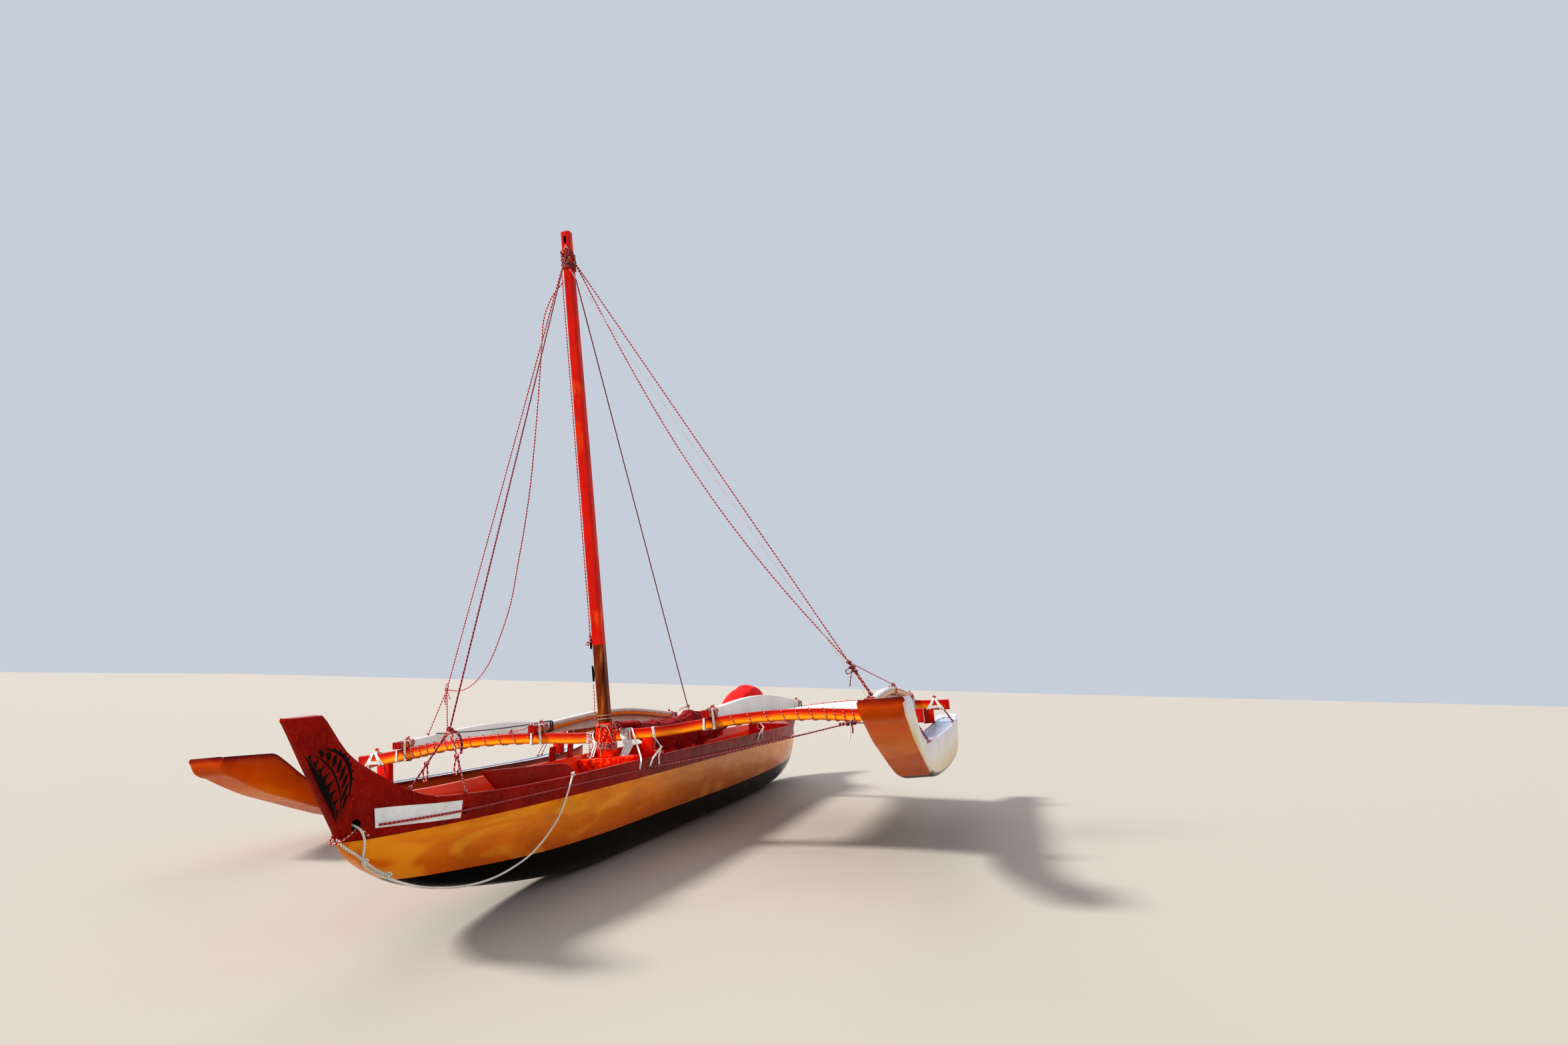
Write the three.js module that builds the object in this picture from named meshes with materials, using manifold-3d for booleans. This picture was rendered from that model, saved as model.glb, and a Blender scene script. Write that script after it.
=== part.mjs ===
// Double outrigger sailing canoe, drawn up on a beach with its sail furled. Millimetres, +X to the bow, +Y to port, +Z up.
import * as THREE from "three";
import { mergeVertices } from "three/addons/utils/BufferGeometryUtils.js";
import Module from "manifold-3d";

const wasm = await Module();
wasm.setup();

// Driving dimensions of the hull. x = 0 is the front crossbeam, z = 0 is the underside of the keel.
const HULL_WALL = 14;
const STRAKE_THICKNESS = 25;
const STRAKE_FLARE = 8;
const COCKPIT = { aft: -4650, fore: 2786 };
const STERN_TIP = -5750;
const STEM_TIP = 3290;
const PLATE = { aft: 2588, fore: 3128, z: 622, rise: 0.041, height: 88, thickness: 3 };
const BOW_EYE = { x: 3226, z: 627, radius: 25 };

// The hull's lines at each station: half beam, keel, top of the shell, top of the gunwale.
const HULL_LINES = [
  // x, beam, keel, shell, sheer
  [-5750, 14, 520, 566, 722],
  [-5550, 74, 350, 566, 719],
  [-5200, 148, 190, 567, 716],
  [-4700, 220, 84, 569, 715],
  [-4000, 262, 22, 570, 715],
  [-3100, 274, 0, 571, 714],
  [-1500, 276, 0, 570, 711],
  [0, 274, 2, 566, 705],
  [1000, 264, 16, 564, 694],
  [1700, 240, 84, 562, 687],
  [2300, 195, 170, 558, 688],
  [2700, 150, 250, 557, 702],
  [3000, 101, 364, 557, 722],
  [3200, 52, 473, 557, 735],
  [3290, 15, 545, 558, 740],
];

// The rig (crossbeams, floats, rails, mast) is lashed on over blocks of unequal height, so it leans to starboard of the hull.
const RIG_CANT = THREE.MathUtils.degToRad(6.47);
const RIG_ORIGIN_Z = 275;

// The front crossbeam is at x = 0 and the rear one at REAR_X. Heights in the rig's own frame.
const REAR_X = -3130;
const IAKO = { halfSpan: 2400, width: 74, depthMid: 84, depthEnd: 104, round: 12 };
const IAKO_TOP = [
  // y, z of the top edge
  [0, 612],
  [350, 614],
  [640, 636],
  [940, 655],
  [1250, 660],
  [1560, 648],
  [1870, 618],
  [2190, 589],
  [2400, 580],
];

const RAIL = { section: 58, round: 7, overhang: 105, arch: 86, inner: 740, outer: 1990 };
const TRAMPOLINE = { thickness: 6, skirt: 5, sag: 34, side: 5, end: 6 };

const FLOAT = { y: 2316, rim: 34, recess: 12 };
const FLOAT_LINES = [
  // x, half width of the deck, half width of the bottom, z of the bottom, z of the deck
  [1674, 134, 127, 646, 690],
  [1655, 135, 128, 597, 690],
  [1560, 135, 127, 546, 689],
  [1440, 134, 126, 488, 687],
  [1300, 133, 125, 426, 684],
  [1200, 132, 124, 388, 676],
  [1080, 131, 123, 350, 606],
  [900, 130, 122, 292, 486],
  [700, 130, 120, 228, 402],
  [450, 130, 118, 156, 352],
  [150, 129, 116, 103, 332],
  [-200, 128, 114, 66, 328],
  [-700, 126, 112, 34, 327],
  [-1500, 126, 110, 5, 326],
  [-2200, 126, 110, -4, 327],
  [-2800, 126, 109, 6, 332],
  [-3200, 125, 106, 36, 346],
  [-3500, 123, 100, 84, 368],
  [-3720, 117, 90, 140, 392],
  [-3850, 104, 76, 188, 408],
];
const FLOAT_RECESS = { fore: 420, aft: -3640 };

const MAST = { x: 296, foot: 421, length: 4228, width: 86, tip: 78, round: 20 };
const MAST_RAKE = THREE.MathUtils.degToRad(4);
const BOOT = { outer: 116, height: 256, wall: 14.5, lift: 5 };
const STEP = { x: 320, length: 150, top: 421, bottom: 340, starboard: -203, port: 262, chamfer: 42 };

// The furled sail and its spars: a cloth-covered bundle from the mast's foot to the stern, hinged at its fore end.
const BUNDLE_LINES = [
  // x, top, bottom, half width
  [110, 683, 626, 40],
  [40, 680, 622, 62],
  [-100, 678, 620, 74],
  [-300, 680, 560, 84],
  [-550, 677, 470, 92],
  [-800, 673, 410, 98],
  [-1260, 684, 356, 102],
  [-1600, 730, 346, 104],
  [-1880, 714, 352, 106],
  [-2300, 700, 400, 108],
  [-2700, 706, 500, 110],
  [-2950, 758, 592, 122],
  [-3150, 836, 622, 138],
  [-3400, 920, 618, 148],
  [-3650, 968, 616, 152],
  [-3880, 956, 620, 146],
  [-4060, 906, 640, 138],
  [-4180, 830, 690, 90],
];
const GOOSENECK = { x: 190, z: 656 };

const RED = "#a3140f";
const DEEP_RED = "#6e0f12";
const FLAME = "#e2600f";
const ORANGE = "#e88a12";
const BLACK = "#141311";
const WHITE = "#e9e7e2";
const DECK_GREY = "#b9c4c9";
const CANVAS = "#9c0f1c";
const ROPE_RED = "#b3261a";

function finish(color, roughness, metalness = 0) {
  return new THREE.MeshStandardMaterial({ color, roughness, metalness });
}

// Solid helpers: three.js geometry to a manifold solid and back.
function solid(geometry, matrix) {
  const copy = geometry.clone();
  if (matrix) copy.applyMatrix4(matrix);
  copy.deleteAttribute("normal");
  copy.deleteAttribute("uv");
  const merged = mergeVertices(copy, 1e-3);
  const vertProperties = new Float32Array(merged.attributes.position.array);
  const triVerts = new Uint32Array(merged.index.array);
  return new wasm.Manifold(new wasm.Mesh({ numProp: 3, vertProperties, triVerts }));
}

function geometryOf(body) {
  const mesh = body.getMesh();
  const geometry = new THREE.BufferGeometry();
  geometry.setAttribute("position", new THREE.BufferAttribute(mesh.vertProperties, 3));
  geometry.setIndex(new THREE.BufferAttribute(mesh.triVerts, 1));
  return geometry;
}

function union(bodies) {
  return bodies.reduce((sum, body) => sum.add(body));
}

// A closed skin through rings of points, with both ends capped. flat turns a point of a ring into the ring's own plane.
function loft(rings, flat) {
  const count = rings[0].length;
  const positions = rings.flat().flatMap((p) => [p.x, p.y, p.z]);
  const index = [];
  for (let i = 0; i + 1 < rings.length; i++) {
    for (let j = 0; j < count; j++) {
      const a = i * count + j;
      const b = i * count + ((j + 1) % count);
      index.push(a, b, b + count, a, b + count, a + count);
    }
  }
  for (const [ring, turned] of [[0, true], [rings.length - 1, false]]) {
    const outline = rings[ring].map(flat);
    const sense = Math.sign(THREE.ShapeUtils.area(outline));
    for (const face of THREE.ShapeUtils.triangulateShape(outline, [])) {
      const same = Math.sign(THREE.ShapeUtils.area(face.map((k) => outline[k]))) === sense;
      const [a, b, c] = same === turned ? [...face].reverse() : face;
      index.push(ring * count + a, ring * count + b, ring * count + c);
    }
  }
  const geometry = new THREE.BufferGeometry();
  geometry.setAttribute("position", new THREE.Float32BufferAttribute(positions, 3));
  geometry.setIndex(index);
  return signedVolume(geometry) < 0 ? turnedInsideOut(geometry) : geometry;
}

function signedVolume(geometry) {
  const p = geometry.attributes.position;
  const at = [0, 1, 2].map(() => new THREE.Vector3());
  let sum = 0;
  for (let i = 0; i < geometry.index.count; i += 3) {
    at.forEach((v, k) => v.fromBufferAttribute(p, geometry.index.getX(i + k)));
    sum += at[0].dot(at[1].clone().cross(at[2]));
  }
  return sum;
}

function turnedInsideOut(geometry) {
  const index = Array.from(geometry.index.array);
  for (let i = 0; i < index.length; i += 3) [index[i], index[i + 1]] = [index[i + 1], index[i]];
  return geometry.setIndex(index);
}

const acrossX = (p) => new THREE.Vector2(p.y, p.z);
const acrossY = (p) => new THREE.Vector2(p.x, p.z);
const acrossZ = (p) => new THREE.Vector2(p.x, p.y);

// Corner points of a rectangle with rounded corners, centred on its own origin.
function roundedRect(width, height, radius, steps = 3) {
  const points = [];
  const corners = [[1, 1, 0], [-1, 1, 90], [-1, -1, 180], [1, -1, 270]];
  for (const [sx, sy, start] of corners) {
    for (let i = 0; i <= steps; i++) {
      const angle = THREE.MathUtils.degToRad(start + (90 * i) / steps);
      const u = sx * (width / 2 - radius) + radius * Math.cos(angle);
      const v = sy * (height / 2 - radius) + radius * Math.sin(angle);
      points.push([u, v]);
    }
  }
  return points;
}

// A smooth curve through the rows of a table whose first column grows or falls.
function lines(table) {
  const rows = [...table].sort((a, b) => a[0] - b[0]);
  const values = rows.flatMap((row) => row.slice(1));
  const curve = new THREE.CubicInterpolant(rows.map((row) => row[0]), values, rows[0].length - 1);
  return (at) => Array.from(curve.evaluate(at));
}

function range(from, to, steps) {
  return Array.from({ length: steps + 1 }, (_, i) => from + ((to - from) * i) / steps);
}

const hullAt = lines(HULL_LINES);
const floatAt = lines(FLOAT_LINES);
const iakoTopCurve = lines(IAKO_TOP);
const iakoTop = (y) => iakoTopCurve(Math.abs(y))[0];
const iakoDepth = (y) => {
  const out = THREE.MathUtils.smoothstep(Math.abs(y), 1500, IAKO.halfSpan);
  return THREE.MathUtils.lerp(IAKO.depthMid, IAKO.depthEnd, out);
};

// One girth of the hull: a flat keel, a full bilge and upright topsides, closed by a straight line at z = top.
function hullRing(x, inset, top) {
  const [beam, keel, shell] = hullAt(x);
  const half = Math.max(beam - inset, 4);
  const flat = Math.min(44, half * 0.3);
  const low = keel + inset;
  const side = [];
  for (const t of range(0, 90, 9)) {
    const angle = THREE.MathUtils.degToRad(t);
    const y = flat + (half - flat) * Math.sin(angle) ** 0.82;
    const z = low + (shell - low) * (1 - Math.cos(angle) ** 1.12);
    side.push([y, z]);
  }
  if (top > shell) side.push([half, top]);
  const port = side.map(([y, z]) => new THREE.Vector3(x, y, z));
  const starboard = [...side].reverse().map(([y, z]) => new THREE.Vector3(x, -y, z));
  return [...port, ...starboard];
}

const HULL_STATIONS = [
  ...range(STERN_TIP, -4900, 7),
  ...range(-4600, 1100, 10),
  ...range(1350, 3050, 8),
  ...range(3120, STEM_TIP, 3),
];

function hullShell() {
  const outer = solid(loft(HULL_STATIONS.map((x) => hullRing(x, 0, 0)), acrossX));
  const inside = range(COCKPIT.aft, COCKPIT.fore, 20);
  const inner = solid(loft(inside.map((x) => hullRing(x, HULL_WALL, 900)), acrossX));
  return geometryOf(outer.subtract(inner));
}

// The strake stands on the shell's top edge and is the dark band along the topsides.
function strake(side) {
  const rings = range(STERN_MANU[0][0] + 1, BOW_MANU[0][0] - 1, 22).map((x) => {
    const [beam, , shell, sheer] = hullAt(x);
    const section = [
      [beam + 1, shell + 0.3],
      [beam + STRAKE_FLARE, sheer - 6],
      [beam + STRAKE_FLARE - 6, sheer],
      [beam + STRAKE_FLARE - STRAKE_THICKNESS + 3, sheer],
      [beam + 1 - STRAKE_THICKNESS, shell + 0.3],
    ];
    return section.map(([y, z]) => new THREE.Vector3(x, side * y, z));
  });
  return loft(rings, acrossX);
}

// A carved end piece closes the hull between the strakes and runs out and up into a raked fin.
// Each row: x, z of the lower edge, half width there, z of the upper edge, half width there.
const BOW_MANU = [
  [2788, null, null, 713, 142],
  [2830, null, null, 721, 128],
  [2874, null, null, 733, 110],
  [2954, null, null, 764, 82],
  [3039, null, null, 807, 59],
  [3134, null, null, 855, 44],
  [3231, null, null, 903, 34],
  [3292, null, null, 942, 31],
  [3316, 608, 19, 960, 29],
  [3367, 676, 20, 1007, 27],
  [3421, 746, 20, 1064, 25],
  [3454, 790, 20, 1098, 24],
  [3488, 835, 19, 1126, 23],
  [3560, 930, 19, 1124, 21],
  [3640, 1038, 18, 1120, 19],
  [3694, 1106, 16, 1119, 13],
];
const STERN_MANU = [
  [-4711, null, null, 721, 206],
  [-4830, null, null, 728, 168],
  [-4960, null, null, 736, 120],
  [-5110, null, null, 750, 78],
  [-5260, null, null, 770, 54],
  [-5420, null, null, 796, 42],
  [-5580, null, null, 828, 36],
  [-5745, null, null, 864, 32],
  [-5800, 646, 20, 877, 29],
  [-5870, 730, 21, 894, 26],
  [-5930, 800, 20, 906, 22],
  [-5985, 866, 19, 913, 17],
  [-6014, 899, 15, 912, 12],
];

function manu(table) {
  const rings = table.map(([x, low, lowHalf, high, highHalf]) => {
    const [beam, , shell] = hullAt(x);
    const foot = low ?? shell + 1.5;
    const wide = lowHalf ?? beam + 1;
    const trim = Math.min(6, (high - foot) / 4);
    const side = [[wide - trim, foot], [wide, foot + trim]];
    for (const t of [0.2, 0.38, 0.56, 0.76]) {
      side.push([highHalf + (wide - highHalf) * (1 - t) ** 2.6, THREE.MathUtils.lerp(foot, high, t)]);
    }
    side.push([highHalf, high - trim], [highHalf - trim, high]);
    const port = side.map(([y, z]) => new THREE.Vector3(x, y, z));
    const starboard = [...side].reverse().map(([y, z]) => new THREE.Vector3(x, -y, z));
    return [...port, ...starboard];
  });
  return solid(loft(rings, acrossX));
}

// The painter's eye is bored through the bow piece from side to side.
function bowManu() {
  const eye = new THREE.CylinderGeometry(BOW_EYE.radius, BOW_EYE.radius, 400, 24);
  const hole = solid(eye, new THREE.Matrix4().makeTranslation(BOW_EYE.x, 0, BOW_EYE.z));
  return geometryOf(manu(BOW_MANU).subtract(hole));
}

const sternManu = () => geometryOf(manu(STERN_MANU));

// The number plate lies on the port side across the joint of strake and bow piece, bent to them. It is plain white.
function bowPlate() {
  const body = manu(BOW_MANU).add(solid(strake(1)));
  const rings = range(PLATE.aft, PLATE.fore, 14).map((x) => {
    const z = PLATE.z + PLATE.rise * (x - PLATE.aft);
    return [z - PLATE.height / 2, z + PLATE.height / 2].map((at) => [x, sideOf(body, x, at) + 2.5, at]);
  });
  const closed = rings.map(([low, high]) => {
    const out = (p) => [p[0], p[1] + PLATE.thickness, p[2]];
    return [low, out(low), out(high), high].map((p) => new THREE.Vector3(...p));
  });
  return loft(closed, acrossX);
}

// How far the side of a solid stands out to port at one place, found with a thin probe.
function sideOf(body, x, z) {
  const probe = solid(new THREE.BoxGeometry(1, 900, 1), new THREE.Matrix4().makeTranslation(x, 450, z));
  return body.intersect(probe).boundingBox().max[1];
}

// A seat board between the strakes' inner faces.
function seat(x, length) {
  const rings = range(x - length / 2, x + length / 2, 3).map((at) => {
    const half = hullAt(at)[0] + 1 - STRAKE_THICKNESS - 4;
    const section = [[half, 574], [half, 596], [-half, 596], [-half, 574]];
    return section.map(([y, z]) => new THREE.Vector3(at, y, z));
  });
  return loft(rings, acrossX);
}

// Underside of a crossbeam over the hull, seen in the hull's upright frame.
function iakoUnderside(y) {
  const low = IAKO_TOP[0][1] - IAKO.depthMid;
  return RIG_ORIGIN_Z + low / Math.cos(RIG_CANT) + y * Math.tan(RIG_CANT);
}

// A lashing block carries a crossbeam on a gunwale. Its foot hooks over the gunwale, and its top is cut to the rig's lean.
// The rig's lean puts the port block inboard of its gunwale and the starboard one over it.
const SADDLE = { port: [118, 207], starboard: [-288, -206], depth: 78, hook: 22, leg: 62 };

function saddle(x, side) {
  const [beam, , , sheer] = hullAt(x);
  const [from, to] = side > 0 ? SADDLE.port : SADDLE.starboard;
  const step = beam - STRAKE_THICKNESS - 3;
  const edge = beam + 4;
  const shape = new THREE.Shape();
  const outline = side > 0
    ? [[from, sheer - SADDLE.leg], [step, sheer - SADDLE.leg], [step, sheer + 0.6], [edge, sheer + 0.6],
       [edge, sheer + SADDLE.hook], [to, sheer + SADDLE.hook + 8]]
    : [[to, sheer - SADDLE.leg], [-step, sheer - SADDLE.leg], [-step, sheer + 0.6], [from, sheer + 0.6]];
  outline.forEach(([y, z], i) => (i ? shape.lineTo(y, z) : shape.moveTo(y, z)));
  const last = side > 0 ? [to, from] : [from, to];
  for (const y of last) shape.lineTo(y, iakoUnderside(y) - 0.6);
  const geometry = new THREE.ExtrudeGeometry(shape, { depth: SADDLE.depth, bevelEnabled: false });
  geometry.rotateX(Math.PI / 2);
  geometry.rotateZ(Math.PI / 2);
  geometry.translate(x - SADDLE.depth / 2, 0, 0);
  return geometry;
}

// A bracket plate with two pin holes stands on the starboard gunwale.
function sideBracket(x) {
  const [beam, , , sheer] = hullAt(x);
  const shape = new THREE.Shape();
  shape.moveTo(-44, 0);
  shape.lineTo(44, 0);
  shape.lineTo(36, 98);
  shape.lineTo(-36, 98);
  for (const at of [-16, 16]) {
    const hole = new THREE.Path();
    hole.absarc(at, 72, 8, 0, Math.PI * 2, true);
    shape.holes.push(hole);
  }
  const geometry = new THREE.ExtrudeGeometry(shape, { depth: 12, bevelEnabled: false, curveSegments: 8 });
  geometry.rotateX(Math.PI / 2);
  geometry.translate(x, -beam + 12, sheer + 1);
  return geometry;
}

// A crossbeam: flat over the hull, arched outboard and bent down to the floats.
function iako(x) {
  const rings = range(-IAKO.halfSpan, IAKO.halfSpan, 28).map((y) => {
    const depth = iakoDepth(y);
    const middle = iakoTop(y) - depth / 2;
    const section = roundedRect(IAKO.width, depth, IAKO.round, 2);
    return section.map(([u, v]) => new THREE.Vector3(x + u, y, middle + v));
  });
  return loft(rings, acrossY);
}

// A rail lies on both crossbeams and arches up between them.
const RAIL_FORE = RAIL.overhang;
const RAIL_AFT = REAR_X - RAIL.overhang;
function railLow(x, y) {
  const t = THREE.MathUtils.clamp(x / REAR_X, 0, 1);
  return iakoTop(y) + 1.5 + RAIL.arch * Math.sin(Math.PI * t) ** 1.15;
}

function rail(y) {
  const tilt = (iakoTop(Math.abs(y) + 29) - iakoTop(Math.abs(y) - 29)) / 58;
  const rise = (Math.abs(tilt) * RAIL.section) / 2;
  const stations = [RAIL_AFT, ...range(REAR_X - 40, 40, 14), RAIL_FORE];
  const rings = stations.map((x) => {
    const middle = railLow(x, y) + rise + RAIL.section / 2;
    const section = roundedRect(RAIL.section, RAIL.section, RAIL.round, 2);
    return section.map(([u, v]) => new THREE.Vector3(x, y + u, middle + v));
  });
  return loft(rings, acrossX);
}

// The trampoline hangs between two rails and both crossbeams, and its edges turn up the rails.
function trampoline(side) {
  const near = RAIL.inner + RAIL.section / 2 + TRAMPOLINE.side;
  const far = RAIL.outer - RAIL.section / 2 - TRAMPOLINE.side;
  const fore = -IAKO.width / 2 - TRAMPOLINE.end;
  const aft = REAR_X + IAKO.width / 2 + TRAMPOLINE.end;
  const rings = range(aft, fore, 14).map((x) => {
    const t = (x - aft) / (fore - aft);
    const sag = TRAMPOLINE.sag * Math.sin(Math.PI * t);
    const upper = (y) => iakoTop(y) - 8 - sag * Math.sin((Math.PI * (y - near)) / (far - near));
    const ys = range(near, far, 8);
    const floor = ys.map((y) => [y, upper(y)]);
    const wall = TRAMPOLINE.skirt;
    const lip = (y) => railLow(x, y) + RAIL.section * 0.96;
    const top = [
      [near, lip(RAIL.inner)],
      [near + wall, lip(RAIL.inner)],
      [near + wall, floor[0][1]],
      ...floor.slice(1, -1),
      [far - wall, floor.at(-1)[1]],
      [far - wall, lip(RAIL.outer)],
      [far, lip(RAIL.outer)],
    ];
    const under = [...floor].reverse().map(([y, z]) => [y, z - TRAMPOLINE.thickness]);
    return [...top, ...under].map(([y, z]) => new THREE.Vector3(x, side * y, z));
  });
  return loft(rings, acrossX);
}

// An outrigger float: a box section with rounded chines, a raised prow whose underside is a broad ramp, and a sunk deck.
function floatBody(side) {
  const stations = [
    -3850,
    -3720,
    -3600,
    ...range(-3450, -200, 7),
    ...range(150, 1080, 6),
    1160,
    1200,
    ...range(1300, 1655, 4),
    1674,
  ];
  const rings = stations.map((x) => {
    const [deck, bottom, low, high] = floatAt(x);
    const inside = x < FLOAT_RECESS.fore && x > FLOAT_RECESS.aft ? FLOAT.recess : 0;
    const height = high - low;
    const chine = Math.min(26, height * 0.3);
    const section = [
      [deck - FLOAT.rim - 14, high - inside],
      [deck - FLOAT.rim, high],
      [deck - 9, high],
      [deck, high - Math.min(9, height * 0.2)],
      [bottom + 10, low + chine * 1.4],
      [bottom, low + chine * 0.45],
      [bottom - 22, low],
    ];
    const port = section.map(([y, z]) => new THREE.Vector3(x, y, z));
    const starboard = [...section].reverse().map(([y, z]) => new THREE.Vector3(x, -y, z));
    return [...port, ...starboard].map((p) => p.setY(p.y + side * FLOAT.y));
  });
  return loft(rings, acrossX);
}

// A post carries a crossbeam's end on the inboard rim of the float.
function pedestal(x, side) {
  const deck = Math.max(...[-33, 0, 33].map((along) => floatAt(x + along)[3])) + 4;
  const ends = [2112, 2224];
  const shape = new THREE.Shape();
  shape.moveTo(side * ends[0], deck);
  shape.lineTo(side * ends[1], deck);
  for (const y of range(ends[1], ends[0], 3)) {
    shape.lineTo(side * y, iakoTop(y) - iakoDepth(y) - 1);
  }
  const geometry = new THREE.ExtrudeGeometry(shape, { depth: 66, bevelEnabled: false });
  geometry.rotateX(Math.PI / 2);
  geometry.rotateZ(Math.PI / 2);
  geometry.translate(x - 33, 0, 0);
  return geometry;
}

// The peg that the end lashing is hauled round.
function peg(x, side) {
  const y = side * 2248;
  const profile = [[0, 0], [9, 0], [9, 22], [15, 28], [15, 40], [8, 46], [0, 46]];
  const geometry = new THREE.LatheGeometry(profile.map(([r, z]) => new THREE.Vector2(r, z)), 10);
  geometry.rotateX(Math.PI / 2);
  geometry.translate(x, y, iakoTop(2248) + 1.5);
  return geometry;
}

// A point on the mast's axis, measured up from its foot.
function onMast(up, aft = 0) {
  const x = MAST.x + up * Math.sin(MAST_RAKE) - aft * Math.cos(MAST_RAKE);
  return new THREE.Vector3(x, 0, MAST.foot + up * Math.cos(MAST_RAKE) + aft * Math.sin(MAST_RAKE));
}

function mastPole() {
  const rings = range(BOOT.lift, MAST.length, 6).map((up) => {
    const t = THREE.MathUtils.smoothstep(up, 2200, MAST.length);
    const width = THREE.MathUtils.lerp(MAST.width, MAST.tip, t);
    const centre = onMast(up);
    return roundedRect(width, width, MAST.round, 3).map(([u, v]) => {
      const along = new THREE.Vector3(u * Math.cos(MAST_RAKE), v, -u * Math.sin(MAST_RAKE));
      return along.add(centre);
    });
  });
  return geometryOf(solid(loft(rings, acrossZ)).subtract(sheaveSlot()));
}

// The slot for the halyard sheave, through the mast from front to back under its square top.
function sheaveSlot() {
  const at = onMast(MAST.length - 70);
  const turn = new THREE.Matrix4().makeRotationY(MAST_RAKE).setPosition(at);
  return solid(new THREE.BoxGeometry(140, 20, 62), turn);
}

function mastBoot() {
  const middle = onMast(BOOT.height / 2 + BOOT.lift);
  const turn = new THREE.Matrix4().makeRotationY(MAST_RAKE).setPosition(middle);
  const outside = solid(new THREE.BoxGeometry(BOOT.outer, BOOT.outer, BOOT.height), turn);
  const socket = BOOT.outer - 2 * BOOT.wall + 0.8;
  const inside = solid(new THREE.BoxGeometry(socket, socket, BOOT.height + 40), turn);
  return geometryOf(outside.subtract(inside));
}

// The step board spans the cockpit ahead of the front crossbeam. Its lower corners are cut to the hull's sides.
function stepBoard() {
  const shape = new THREE.Shape();
  shape.moveTo(STEP.starboard, STEP.top - 22);
  shape.lineTo(STEP.starboard + STEP.chamfer, STEP.bottom);
  shape.lineTo(STEP.port - STEP.chamfer, STEP.bottom);
  shape.lineTo(STEP.port, STEP.top - 22);
  shape.lineTo(STEP.port, STEP.top);
  shape.lineTo(STEP.starboard, STEP.top);
  const geometry = new THREE.ExtrudeGeometry(shape, { depth: STEP.length, bevelEnabled: false });
  geometry.rotateX(Math.PI / 2);
  geometry.rotateZ(Math.PI / 2);
  geometry.translate(STEP.x - STEP.length / 2, 0, 0);
  return geometry;
}

// A horn cleat on the mast's starboard face.
function mastCleat(up) {
  const shape = new THREE.Shape();
  const outline = [[-14, 0], [14, 0], [14, 14], [60, 20], [60, 30], [-60, 30], [-60, 20], [-14, 14]];
  outline.forEach(([u, v], i) => (i ? shape.lineTo(u, v) : shape.moveTo(u, v)));
  const geometry = new THREE.ExtrudeGeometry(shape, { depth: 18, bevelEnabled: false });
  geometry.translate(0, 0, -9);
  geometry.rotateZ(Math.PI);
  geometry.rotateY(Math.PI / 2);
  geometry.translate(0, -MAST.width / 2 - 1, 0);
  const turn = new THREE.Matrix4().makeRotationY(MAST_RAKE).setPosition(onMast(up));
  return geometry.applyMatrix4(turn);
}

// A straight rope between two points, and a ball where ropes meet.
function rope(a, b, radius) {
  const along = new THREE.Vector3().subVectors(b, a);
  const geometry = new THREE.CylinderGeometry(radius, radius, along.length(), 8);
  geometry.translate(0, along.length() / 2, 0);
  const up = new THREE.Vector3(0, 1, 0);
  const turn = new THREE.Quaternion().setFromUnitVectors(up, along.normalize());
  geometry.applyQuaternion(turn);
  geometry.translate(a.x, a.y, a.z);
  return solid(geometry);
}

function knot(at, radius) {
  const ball = new THREE.SphereGeometry(radius, 8, 5);
  return solid(ball, new THREE.Matrix4().makeTranslation(at.x, at.y, at.z));
}

// A stay: one part from the masthead to a knot, and legs from the knot to where they are made fast.
function stay(head, meet, feet, radius) {
  const parts = [rope(head, meet, radius), knot(meet, radius * 3)];
  for (const foot of feet) parts.push(rope(meet, foot, radius), knot(foot, radius * 2));
  return geometryOf(union(parts));
}

const v3 = (x, y, z) => new THREE.Vector3(x, y, z);

// From the hull's frame into the rig's.
function intoRig(point) {
  const turn = new THREE.Matrix4().makeRotationX(-RIG_CANT);
  return point.clone().sub(v3(0, 0, RIG_ORIGIN_Z)).applyMatrix4(turn);
}

function forestay() {
  const [beam, , , sheer] = hullAt(2550);
  const feet = [1, -1].map((side) => intoRig(v3(2550, side * (beam - 4), sheer + 12)));
  return stay(onMast(4000, -52), v3(2361, 0, 734), feet, 5);
}

function shroudPort() {
  const foot = v3(-150, 2000, iakoTop(2000) + 110);
  const back = v3(-1660, 2000, iakoTop(2000) + 174);
  const head = onMast(3960).add(v3(0, 54, 0));
  const meet = head.clone().lerp(foot, 0.93);
  return stay(head, meet, [foot, back], 5);
}

function shroudStarboard() {
  const y = -1990;
  const meet = v3(-480, y + 105, 1085);
  const feet = [v3(-350, y, railLow(-350, y) + 80), v3(-640, y, railLow(-640, y) + 80)];
  const head = onMast(3960).add(v3(0, -54, 0));
  return stay(head, meet, feet, 5);
}

// The lift runs from the masthead to the top of the furled bundle.
function toppingLift() {
  return geometryOf(rope(onMast(4000, 52), v3(-1600, 0, 742), 5));
}

// The bundle: rolled sail and spars in a cloth cover that hangs slack below them between the crossbeams.
function sailBundle() {
  const at = lines(BUNDLE_LINES);
  const xs = [...range(-4180, -3900, 4), ...range(-3800, -2700, 9), ...range(-2500, -100, 12), 40, 110];
  const rings = xs.map((x) => {
    const [top, bottom, half] = at(x);
    const middle = Math.max((top + bottom) / 2, top - half * 1.1);
    return range(0, 360, 14).slice(0, -1).map((degrees) => {
      const angle = THREE.MathUtils.degToRad(degrees);
      const up = Math.sin(angle);
      const z = middle + up * (up > 0 ? top - middle : middle - bottom);
      return v3(x, half * Math.cos(angle), z);
    });
  });
  return loft(rings, acrossX);
}

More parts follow.
